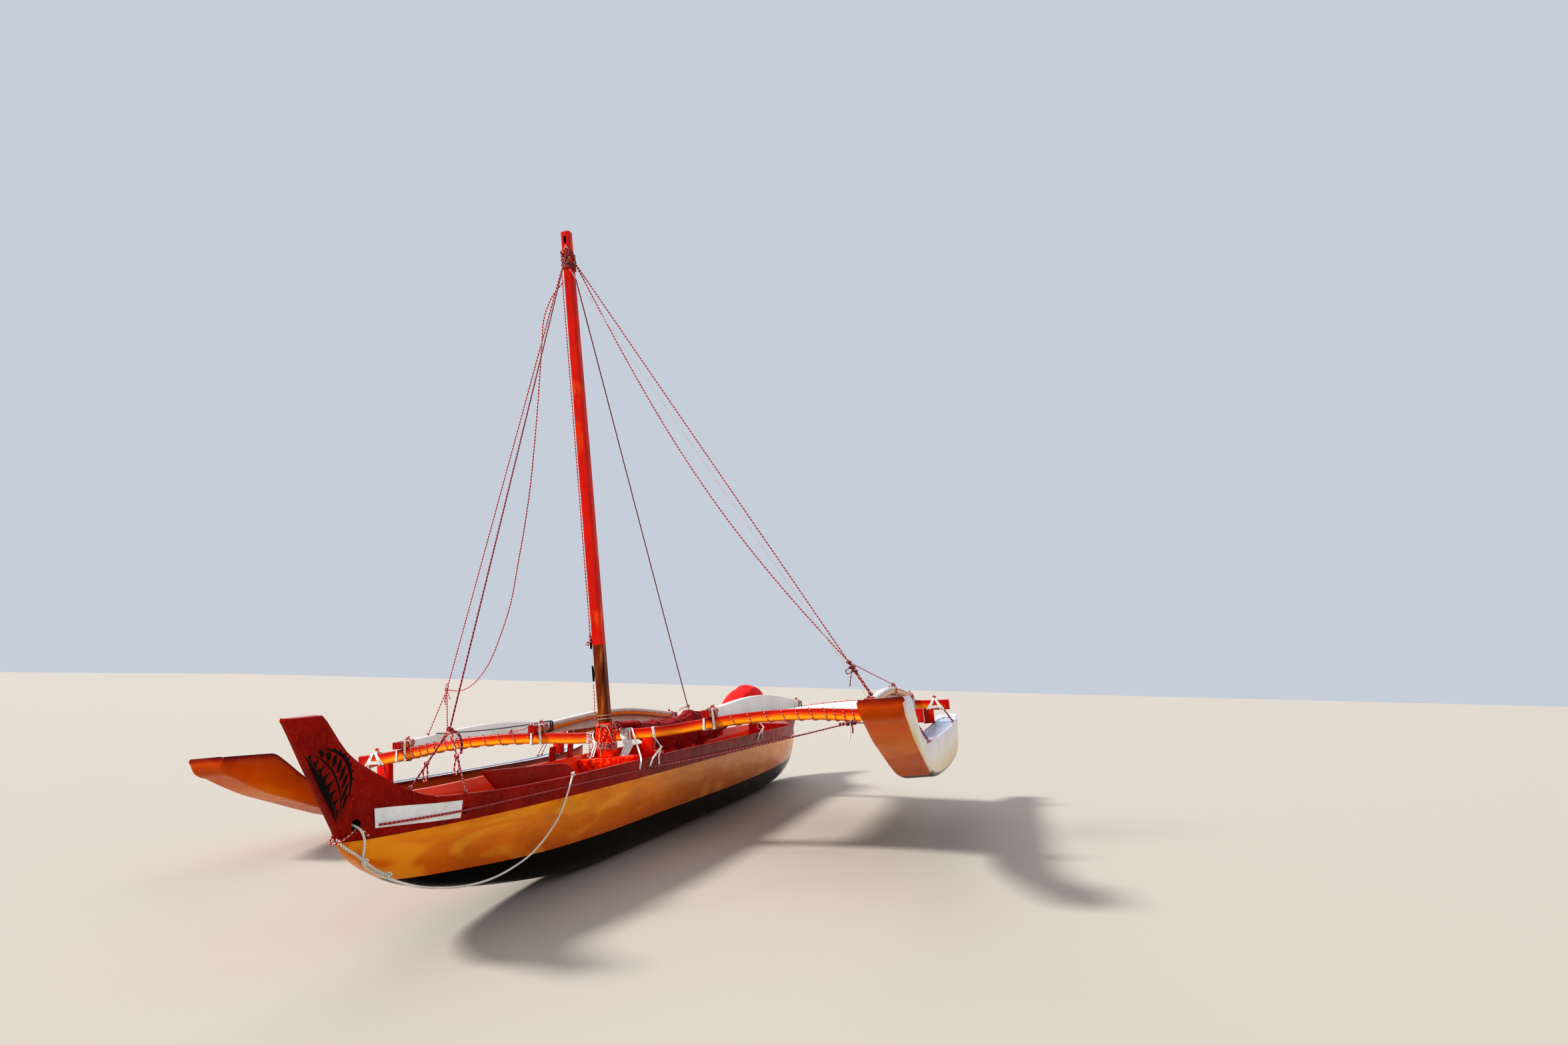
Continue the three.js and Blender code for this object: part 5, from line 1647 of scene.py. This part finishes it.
for end, x, side, hand in beam_halves():
    face, top = BEAM_WIDTH / 2 + 0.002, beam_top(PEG_Y)
    webs = [strap(turned(peg_leg(x, i, spread), hand), 0.016) for i, spread in enumerate(LEG_SPREADS)]
    for lift_by in (0.0, 0.014):
        level = beam_low(PEG_Y) + 0.024 + lift_by
        webs.append(strap(turned([
            ((x + face + 0.003, PEG_Y - 0.070 + lift_by, level), (1, 0, 0)),
            ((x + face + 0.003, PEG_Y + 0.074 - lift_by, level), (1, 0, 0)),
        ], hand), 0.012))
    collar = [on_rig(x, hand * (PEG_Y + 0.016 * math.cos(a)), top + 0.010) +
              Vector((0.016 * math.sin(a), 0, 0.0015 * a)) for a in steps(0, 4 * math.pi, 40)]
    webs.append(tube("collar", collar, 0.004, WHITE_ROPE, 8))
    fit(joined(f"end_lashing_{end}_{side}", webs), "rope_white")
    tails = []
    for fore in (1, -1):
        for across in (-1, 1):
            y = PEG_Y + across * TAIL_SPREAD
            high = beam_low(y) - 0.004
            deck_x, deck_y = x + fore * 0.045, FLOAT_Y + 0.098
            if across < 0:
                deck_x, deck_y = x + fore * 0.060, FLOAT_Y - 0.100
            deck_z = float_lines(deck_x)[3] + 0.006
            drop = high - deck_z
            halfway = on_rig(x + fore * 0.046, hand * (y + (deck_y - y) * 0.45), high - drop * 0.42)
            if across < 0:
                halfway = on_rig(x + fore * 0.052, hand * (y - 0.018), high - drop * 0.5)
            route = [on_rig(x + fore * 0.034, hand * y, high), halfway, on_rig(deck_x, hand * deck_y, deck_z)]
            tails.append(tube("tail", curve_through(route, 0.015), 0.004, DARK_ROPE, 8))
            tails.append(knot(route[-1], Vector((0, 0, 1)), 0.011, 0.0045, DARK_ROPE))
    fit(joined(f"deck_tails_{end}_{side}", tails), "rope_red")


# A red and white line runs taut along the port band from the stem to the stern. From beside the front
# crossbeam one part is led out to the beam's port end and made fast there with a long knotted hitch.
SIDE_LINE = [
    # x, height
    (3.170, 0.616), (2.600, 0.612), (2.000, 0.622), (1.450, 0.629), (0.700, 0.626), (-0.080, 0.620),
    (-0.900, 0.612), (-1.750, 0.607), (-3.100, 0.588), (-4.580, 0.566),
]
SIDE_KNOT = on_rig(0.047, 1.850, 0.517)
STERN_KNOT = on_rig(REAR_X - 0.047, 1.850, 0.517)
HITCH = (
    # along the beam, size of the knot
    (-0.075, 0.013), (-0.050, 0.012), (-0.018, 0.020), (0.010, 0.024), (0.036, 0.019),
)


def on_band(x):
    """A place for the line on the outer face of the port band or the shell, a line's thickness proud."""
    z = float(np.interp(x, *zip(*sorted(SIDE_LINE))))
    beam, _, low, sheer = hull_lines(x)
    flare = STRAKE_FLARE * (z - low) / (sheer - low) if z > low else 0.0
    return on_hull(x, beam + flare + 0.0075, z)


def led(*points, start=Vector((0, 0, 0)), step=0.008):
    """A curve through points, each given from the same start."""
    return curve_through([start + Vector(p) for p in points], step)


side_ropes = [tube("along_band", [on_band(x) for x in steps(3.120, -4.560, 130)], 0.0058, SIDE_ROPE, 8)]
for leave, at, drop, count in ((0.35, SIDE_KNOT, -0.012, 30), (-4.40, STERN_KNOT, -0.01, 24)):
    to_beam = bowed(on_band(leave), at, count, Vector((0, 0, drop)))
    side_ropes.append(tube("to_beam", to_beam, 0.005, DARK_ROPE, 8))
for at in (SIDE_KNOT, STERN_KNOT):
    for along, size in HITCH:
        hitch_at = at + Vector((0, along, along * 0.17))
        side_ropes.append(knot(hitch_at, Vector((0, 1, 0.17)), size, 0.005, DARK_ROPE))
    end = led((0, 0, 0), (0.004, 0.02, -0.03), (0, 0.022, -0.075), start=at, step=0.01)
    side_ropes.append(tube("end", end, 0.0055, DARK_ROPE, 8))
    onward = led((0, 0.03, 0), (-0.02, 0.16, 0.012), (-0.04, 0.30, 0.06), start=at, step=0.02)
    side_ropes.append(tube("on", onward, 0.005, DARK_ROPE, 8))
fit(joined("side_line", side_ropes), "rope_red")
white_tail = led((0.006, 0.004, 0.030), (0.010, 0.006, -0.040), (0.008, 0.004, -0.110),
                 (0.010, -0.004, -0.150), start=SIDE_KNOT, step=0.01)
fit(tube("side_line_tail", white_tail, 0.005, WHITE_ROPE, 8), "rope_white")


# At the stem a doubled white strand is twisted round the bow line and the stem, a dark red strand ties the
# bow line's eye to the stem's foot, and a frayed red and white end hangs beside it.
STEM_PATH = [
    # x, to port, height
    (3.300, 0.004, 0.575), (3.290, 0.030, 0.545), (3.235, 0.060, 0.500), (3.190, 0.078, 0.462),
    (3.120, 0.094, 0.412), (3.060, 0.124, 0.378),
]
EYE_TIE = [
    # x, to port, height
    (3.226, 0.040, 0.606), (3.262, 0.040, 0.588), (3.298, 0.030, 0.568), (3.322, 0.016, 0.560),
    (3.330, 0.0, 0.560), (3.322, -0.016, 0.560), (3.290, -0.032, 0.574), (3.240, -0.044, 0.600),
]
PLUG_X = 2.560


def twisted(path, lay, pitch, strands, radius, finish):
    """Strands laid round a path, each a line of its own."""
    side, run = None, 0.0
    curves = [[] for _ in range(strands)]
    for i, p in enumerate(path):
        ahead = (path[min(i + 1, len(path) - 1)] - path[max(i - 1, 0)]).normalized()
        side = side or ahead.orthogonal()
        side = (side - ahead * ahead.dot(side)).normalized()
        up = ahead.cross(side)
        run += (p - path[i - 1]).length if i else 0.0
        for k in range(strands):
            a = 2 * math.pi * (run / pitch + k / strands)
            curves[k].append(p + (side * math.cos(a) + up * math.sin(a)) * lay)
    return [tube("strand", points, radius, finish, 8) for points in curves]


stem_strands = twisted(led(*STEM_PATH, start=hull_zero, step=0.006), 0.0042, 0.030, 2, 0.0038, WHITE_ROPE)
for x, y, z in ((3.190, 0.078, 0.462), (3.070, 0.120, 0.384)):
    stem_strands.append(knot(on_hull(x, y, z), Vector((1, -0.5, 0.6)), 0.016, 0.0045, WHITE_ROPE))
fit(joined("stem_strands", stem_strands), "rope_white")
tie_parts = twisted(led(*EYE_TIE, start=hull_zero), 0.0034, 0.026, 2, 0.0032, RED_ROPE)
for k in range(5):
    sway = 0.006 * math.sin(2.1 * k)
    end = led((3.205, 0.056, 0.606), (3.185, 0.066 + sway, 0.585), (3.168 + sway, 0.072, 0.556 + 0.006 * k),
              start=hull_zero)
    tie_parts.append(tube("fray", end, 0.0022, RED_ROPE, 6))
fit(joined("stem_tie", tie_parts), "rope_red")
plug = new_piece("band_plug", *loft([
    [on_hull(PLUG_X + r * math.cos(a), hull_lines(PLUG_X)[0] + lift, 0.610 + r * 1.15 * math.sin(a))
     for a in (math.radians(20 * k) for k in range(18))]
    for r, lift in ((0.014, -0.004), (0.014, 0.006), (0.011, 0.011), (0.004, 0.013))
]), 40)
fit(plug, "black_fitting", finish=FITTING)


# White webbing ties each crossbeam down. Beside the mast it is wound round the beam and led to the step
# board; at each lashing block a strap goes round the beam, is pinched under it and splits over the band.
STEP_LASHINGS = (
    # side, hand, where each lead leaves the beam, where the first one reaches the board
    ("starboard", -1, (0.238, 0.256, 0.272), -0.204),
    ("port", 1, (0.008, 0.024, 0.041, 0.058, 0.078), 0.050),
)
STRAP_Y = 0.275
STRAP_ENDS = (
    # x from the beam and height, over the band's edge and at the end
    ((0.225, 0.694), (0.277, 0.637)),
    ((0.100, 0.698), (0.083, 0.635)),
)
BAND_FACE = 0.2895


def leads(routes, width, slack=0.0):
    """Bands along routes of places in the canoe's frame, facing forward and outward, a little uneven."""
    made = []
    for i, route in enumerate(routes):
        path = [a.lerp(b, k / 12) for a, b in zip(route, route[1:]) for k in range(12)] + [route[-1]]
        path = path[:1] + [(a + b + c) / 3 for a, b, c in zip(path, path[1:], path[2:])] + path[-1:]
        sway = [slack * math.sin(9 * i + 7 * t) for t in steps(0, 1, len(path) - 1)]
        path = [p + Vector((0, s, 0)) for p, s in zip(path, sway)]
        hand = 1 if route[-1].y > hull_zero.y else -1
        facing = Vector((0.8, 0.5 * hand, 0.35)).normalized()
        made.append(band("lead", path, [facing] * len(path), width, WEB_THICK, WHITE_WEB))
    return made


def board_top(y):
    """Height in the hull's frame of the step board's top, which leans with the mast."""
    return 0.723 - (0.215 - y) * math.tan(RIG_LEAN)


for side, hand, places, first_foot in STEP_LASHINGS:
    routes = []
    for i, y in enumerate(hand * v for v in places):
        foot_y = first_foot + 0.012 * i
        routes.append([
            on_rig(-0.030, y, beam_top(y) + 0.003),
            on_rig(0.024, y, beam_top(y) + 0.003),
            on_rig(0.041, y, beam_top(y) - 0.008),
            on_rig(0.050, y * 0.98, 0.575 - 0.006 * i),
            on_hull(0.175, foot_y * 0.8 + 0.2 * y, 0.775),
            on_hull(0.266, foot_y, board_top(foot_y) + 0.004),
            on_hull(0.300 + 0.01 * i, foot_y, board_top(foot_y) + 0.003),
        ])
    webs = leads(routes, 0.017, 0.004)
    y, half = hand * (places[0] + places[-1]) / 2, (places[-1] - places[0]) * 0.48
    for lower in (0.0, 0.026):
        ends = (0.0425, y - half, 0.606 - lower), (0.0440, y + half, 0.600 - lower)
        webs.append(strap([(p, (1, 0, 0)) for p in ends], 0.010))
    fit(joined(f"step_lashing_{side}", webs), "rope_white")

for end, x, side, hand in beam_halves():
    high, low, face = beam_top(STRAP_Y) + 0.002, beam_low(STRAP_Y) - 0.002, BEAM_WIDTH / 2 + 0.002
    round_beam = [((x + u, STRAP_Y + v, z), out) for u, v, z, out in (
        (-0.020, 0.012, low, (0, 0, -1)),
        (-face, 0.010, low + 0.004, (-1, 0, 0)),
        (-face, 0.004, high - 0.004, (-1, 0, 0)),
        (-face + 0.006, 0.0, high, (0, 0, 1)),
        (face - 0.006, 0.0, high, (0, 0, 1)),
        (face, 0.0, high - 0.004, (1, 0, 0)),
        (face, 0.010, low + 0.004, (1, 0, 0)),
        (face - 0.006, 0.012, low, (0.4, 0, -1)),
    )]
    webs = [strap(turned(round_beam, hand), 0.024)]
    under = on_rig(x + 0.030, hand * (STRAP_Y + 0.010), low)
    pinch = on_hull(x + 0.085, hand * 0.300, 0.768 if hand > 0 else 0.735)
    legs = [[under, pinch, *(on_hull(x + u, hand * BAND_FACE, z) for u, z in spots)] for spots in STRAP_ENDS]
    if end == "front" and hand > 0:
        legs.append([
            on_rig(0.030, 0.098, beam_top(0.1) + 0.004),
            on_rig(0.042, 0.104, 0.600),
            on_hull(0.290, 0.206, 0.734),
            on_hull(0.400, 0.262, 0.712),
            on_hull(0.455, 0.288, 0.695),
            on_hull(0.472, 0.288, 0.636),
        ])
    webs += leads(legs, 0.014)
    turn_ends = (-0.014, 0.004 * hand, 0.004), (0.016, 0.005 * hand, -0.004)
    webs += leads([[pinch + Vector(p) for p in turn_ends]], 0.012)
    fit(joined(f"block_strap_{end}_{side}", webs), "rope_white")


# Round the boot and the masthead go turns of red and white line, with loops, knots and loose ends. Line also
# runs down the mast's corner to the cleats, and two thin pale lines are tied round the mast over the boot.
MAST_TURNS = (
    # from, to, number of turns, half width of what they go round, the line's radius and finish
    (0.060, 0.116, 5, 0.0580, 0.0042, RED_ROPE),
    (0.226, 0.252, 2, 0.0580, 0.0040, RED_ROPE),
    (3.908, 3.968, 5, 0.0395, 0.0050, SIDE_ROPE),
    (3.990, 4.056, 4, 0.0395, 0.0055, SIDE_ROPE),
)
MAST_KNOTS = (
    # up the mast, aft, to port, size
    (0.236, -0.010, 0.070, 0.020),
    (0.214, 0.030, 0.072, 0.016),
    (0.088, -0.066, 0.048, 0.014),
    (0.100, -0.030, 0.066, 0.015),
    (0.246, -0.066, -0.020, 0.012),
    (3.946, -0.050, 0.030, 0.020),
    (3.982, -0.050, -0.024, 0.022),
    (4.050, -0.048, -0.034, 0.018),
    (3.924, -0.030, 0.052, 0.018),
    (3.936, 0.010, -0.054, 0.018),
    (4.076, -0.048, 0.012, 0.018),
)
MAST_LOOPS = (
    [(0.240, -0.030, 0.068), (0.190, -0.026, 0.066), (0.140, -0.030, 0.067), (0.092, -0.034, 0.068)],
    [(0.246, 0.020, 0.070), (0.232, 0.050, 0.088), (0.200, 0.060, 0.100), (0.186, 0.056, 0.090),
     (0.204, 0.040, 0.074)],
    [(0.240, -0.063, 0.050), (0.180, -0.064, 0.020), (0.130, -0.065, -0.010), (0.086, -0.064, -0.044)],
    [(4.040, -0.046, -0.020), (4.084, -0.047, -0.004), (4.106, -0.044, 0.006), (4.084, -0.047, 0.016),
     (4.040, -0.046, 0.028)],
)
CLEAT_FALL = [(0.560, -0.030, -0.058), (0.400, -0.036, -0.060), (0.240, -0.040, -0.068)]
PALE_LOOPS = (
    [(0.110, -0.040, 0.064), (0.190, -0.062, 0.058), (0.235, -0.064, 0.035), (0.246, -0.064, 0.008),
     (0.200, -0.064, -0.022), (0.110, -0.065, -0.030), (0.020, -0.066, -0.026)],
    [(3.916, -0.044, -0.030), (3.960, -0.047, 0.000), (4.004, -0.046, 0.034)],
)
BOOT_BLOCK_UP = 0.215


def mast_line(points, radius, finish, sides=8, step=0.008):
    """A line through places given up the mast, aft and to port."""
    return tube("mast_line", curve_through([mast_spot(*p) for p in points], step), radius, finish, sides)


lines = []
for low, high, turns, half, radius, finish in MAST_TURNS:
    middle = [mast_spot(up) for up in steps(low, high, 8)]
    lines.append(wound("mast_turns", middle, (0, 1, 0), turns, half, half, radius, finish))
for i, (up, aft, port, size) in enumerate(MAST_KNOTS):
    finish = DARK_ROPE if i % 3 == 2 else RED_ROPE
    lines.append(knot(mast_spot(up, aft, port), Vector((1, 0.5 * (i % 3), 0.3)), size, 0.0048, finish))
lines += [mast_line(loop, 0.0042, RED_ROPE) for loop in MAST_LOOPS]
halyard_run = [mast_spot(up, -0.041, -0.049) for up in steps(0.880, 3.880, 60)]
lines.append(tube("mast_run", halyard_run, 0.0045, RED_ROPE, 8))
lines.append(knot(mast_spot(0.872, -0.036, -0.078), Vector((1, 0, 0)), 0.017, 0.005, RED_ROPE))
lines.append(mast_line(CLEAT_FALL, 0.0035, RED_ROPE, step=0.02))
for top_y, foot_y, bow_y in ((-0.276, -0.236, 0.012), (-0.288, -0.224, -0.012), (-0.262, -0.214, 0.02)):
    route = [
        on_rig(0.030, top_y, beam_top(top_y) + 0.006),
        on_rig(0.046, top_y, beam_top(top_y) - 0.012),
        on_hull(0.160, (top_y + foot_y) / 2 + bow_y, 0.760),
        on_hull(0.272, foot_y, board_top(foot_y) + 0.006),
    ]
    lines.append(tube("to_board", curve_through(route, 0.01), 0.0045, RED_ROPE, 8))
fit(joined("mast_lines", lines), "rope_red")

pale = []
for up in (0.292, 0.318):
    section = rounded(MAST_WIDTH + 0.004, MAST_WIDTH + 0.004, MAST_ROUND, 5)
    pale.append(ringed([mast_spot(up, -u, v) for u, v in section], 0.0022, WHITE_ROPE, 6))
pale += [mast_line(loop, 0.0028, WHITE_ROPE, 6) for loop in PALE_LOOPS]
wire_head, wire_foot = mast_spot(3.900, -0.042, 0.020), on_rig(-0.070, RAIL_OUTER, beam_top(2.0) + 0.075)
pale.append(tube("wire", bowed(wire_head, wire_foot, 60), 0.0026, WHITE_ROPE, 6))
pale.append(knot(on_hull(1.552, 0.283, 0.704), Vector((0, 1, 0.3)), 0.014, 0.0055, WHITE_ROPE))
fit(joined("pale_lines", pale), "rope_white")
block = new_piece("boot_block", *loft([
    [mast_spot(BOOT_BLOCK_UP + v, u, -0.060 - d) for u, v in rounded(0.034 - t, 0.052 - t, 0.010)]
    for d, t in ((0.0, 0.0), (0.018, 0.0), (0.024, 0.006))
]))
fit(block, "black_fitting", finish=FITTING)


# The port stay is two parts of line twisted together under the masthead. They part, one taut and one slack,
# meet again at two knots and run down to the rail as a twisted bundle with a loop and an end left over.
STAY_LOOP = ((0, 0, -0.01), (0.004, -0.034, -0.016), (0.004, -0.050, -0.034), (0.002, -0.036, -0.052),
             (0, -0.010, -0.040), (0, 0.0, -0.012))


def rail_turn(x, y, lift, width, height, radius, finish):
    """A turn of line round a rail, at y on the rig's own side."""
    middle = rail_low(x, abs(y)) + lift + RAIL / 2
    section = rounded(RAIL + width, RAIL + height, 0.012)
    return ringed([on_rig(x, y + u, middle + v) for u, v in section], radius, finish)


bundle_low = port_knot.lerp(port_foot, 0.28)
upper = port_knot.lerp(bundle_low, 0.55)
knot_axis = (star_knot - head_star).normalized()
slack_part = bowed(head_port, port_knot, 80, Vector((0, -0.055, -0.200)))
stay_parts = [tube("slack_part", slack_part, STAY, RED_ROPE, 8)]
stay_parts += twisted(bowed(bundle_low, port_foot, 60), 0.0075, 0.075, 3, 0.0048, RED_ROPE)
for at, size in ((port_knot, 0.021), (upper, 0.027), (bundle_low, 0.022),
                 (port_foot, 0.018), (port_back, 0.018)):
    stay_parts.append(knot(at, knot_axis, size, 0.0062, DARK_ROPE))
stay_parts.append(tube("stay_loop", led(*STAY_LOOP, start=upper, step=0.006), 0.0042, DARK_ROPE, 8))
stay_end = led((0, 0, -0.03), (0.004, -0.012, -0.090), (0.004, -0.016, -0.150), start=upper, step=0.01)
stay_parts.append(tube("stay_end", stay_end, 0.0042, DARK_ROPE, 8))
for foot, count in ((port_foot, 3), (port_back, 2)):
    for i in range(count):
        x = in_rig(foot).x + 0.030 * (i - (count - 1) / 2)
        stay_parts.append(rail_turn(x, RAIL_OUTER, 0.004, 0.016, 0.018, 0.0048, RED_ROPE))
fit(joined("port_stay_lines", stay_parts), "rope_red")


# At the forestay's knot the line is wound round itself and an end hangs down; a loose loop hangs beside it on
# each leg. The starboard stay's knot has a loop and ends too, and a black line is made fast to the rails.
LEG_LOOP = (
    # outward, up
    (0.000, 0.0), (0.016, -0.030), (0.014, -0.075), (0.002, -0.098), (-0.010, -0.070), (-0.006, -0.025),
    (0.0, 0.004),
)
STAR_ENDS = ((0.035, 0.012, -0.130), (-0.030, -0.020, -0.105), (0.010, 0.030, -0.080))
extra = []
for foot, hand, turned_to, loop_from in ((fore_feet[0], 1, 0.34, 0.45), (fore_feet[1], -1, 0.2, 0.60)):
    leg = foot - fore_knot
    loop_at = fore_knot + leg * loop_from
    turns_path = [fore_knot + leg * t for t in steps(0.02, turned_to, 24)]
    extra += twisted(turns_path, 0.0062, 0.020, 2, 0.0042, RED_ROPE)
    leg_loop = led(*((0, hand * u, v) for u, v in LEG_LOOP), start=loop_at)
    extra.append(tube("leg_loop", leg_loop, 0.0045, RED_ROPE, 8))
    extra.append(knot(loop_at, leg, 0.014, 0.0048, RED_ROPE))
fore_end = led((0, 0, 0), (-0.010, 0.045, -0.020), (-0.016, 0.070, -0.070), (-0.012, 0.074, -0.130),
               start=fore_knot)
extra.append(tube("fore_end", fore_end, 0.0075, DARK_ROPE, 8))
cluster_at = fore_knot + Vector((0, 0.004, -0.014))
extra.append(knot(cluster_at, Vector((1, 0.3, 0.3)), 0.024, 0.0062, RED_ROPE))
for u, v, w in STAR_ENDS:
    star_end = led((0, 0, 0), (u, v, w * 0.5), (u * 0.8, v * 1.6, w), start=star_knot)
    extra.append(tube("star_end", star_end, 0.0045, RED_ROPE, 8))
star_loop = [star_knot + Vector((0.05 * math.sin(a), 0.02 * math.sin(a), 0.03 - 0.03 * math.cos(a)))
             for a in steps(0, 2 * math.pi, 24)]
extra.append(tube("star_loop", star_loop, 0.0045, RED_ROPE, 8))
beam_knot = on_rig(0, -0.985, beam_top(0.985) + 0.014)
over_rail_z = beam_top(RAIL_INNER) + RAIL + 0.004
extra.append(knot(beam_knot, Vector((1, 0, 0.2)), 0.020, 0.0052, RED_ROPE))
beam_line = bowed(beam_knot, on_rig(0.080, -0.745, over_rail_z), 14, Vector((0, 0, -0.006)))
extra.append(tube("beam_line", beam_line, 0.0045, RED_ROPE, 8))
rail_end_at = on_rig(0.088, -0.745, over_rail_z)
extra.append(knot(rail_end_at, Vector((0, 0, 1)), 0.022, 0.007, RED_ROPE))
fit(joined("stay_ends", extra), "rope_red")

black_parts = [rail_turn(x, -RAIL_INNER, 0.003, 0.022, 0.022, 0.0055, BLACK_ROPE) for x in (-0.150, -0.185)]
black_from = on_rig(-0.150, -0.77, rail_low(-0.15, RAIL_INNER) + 0.012 + RAIL)
black_to = on_rig(-0.420, -1.960, rail_low(-0.42, RAIL_OUTER) + 0.014 + RAIL)
black_path = bowed(black_from, black_to, 40, Vector((0, 0, -0.015)))
black_parts.append(tube("across", black_path, 0.005, BLACK_ROPE, 8))
fit(joined("black_line", black_parts), "rope_red")
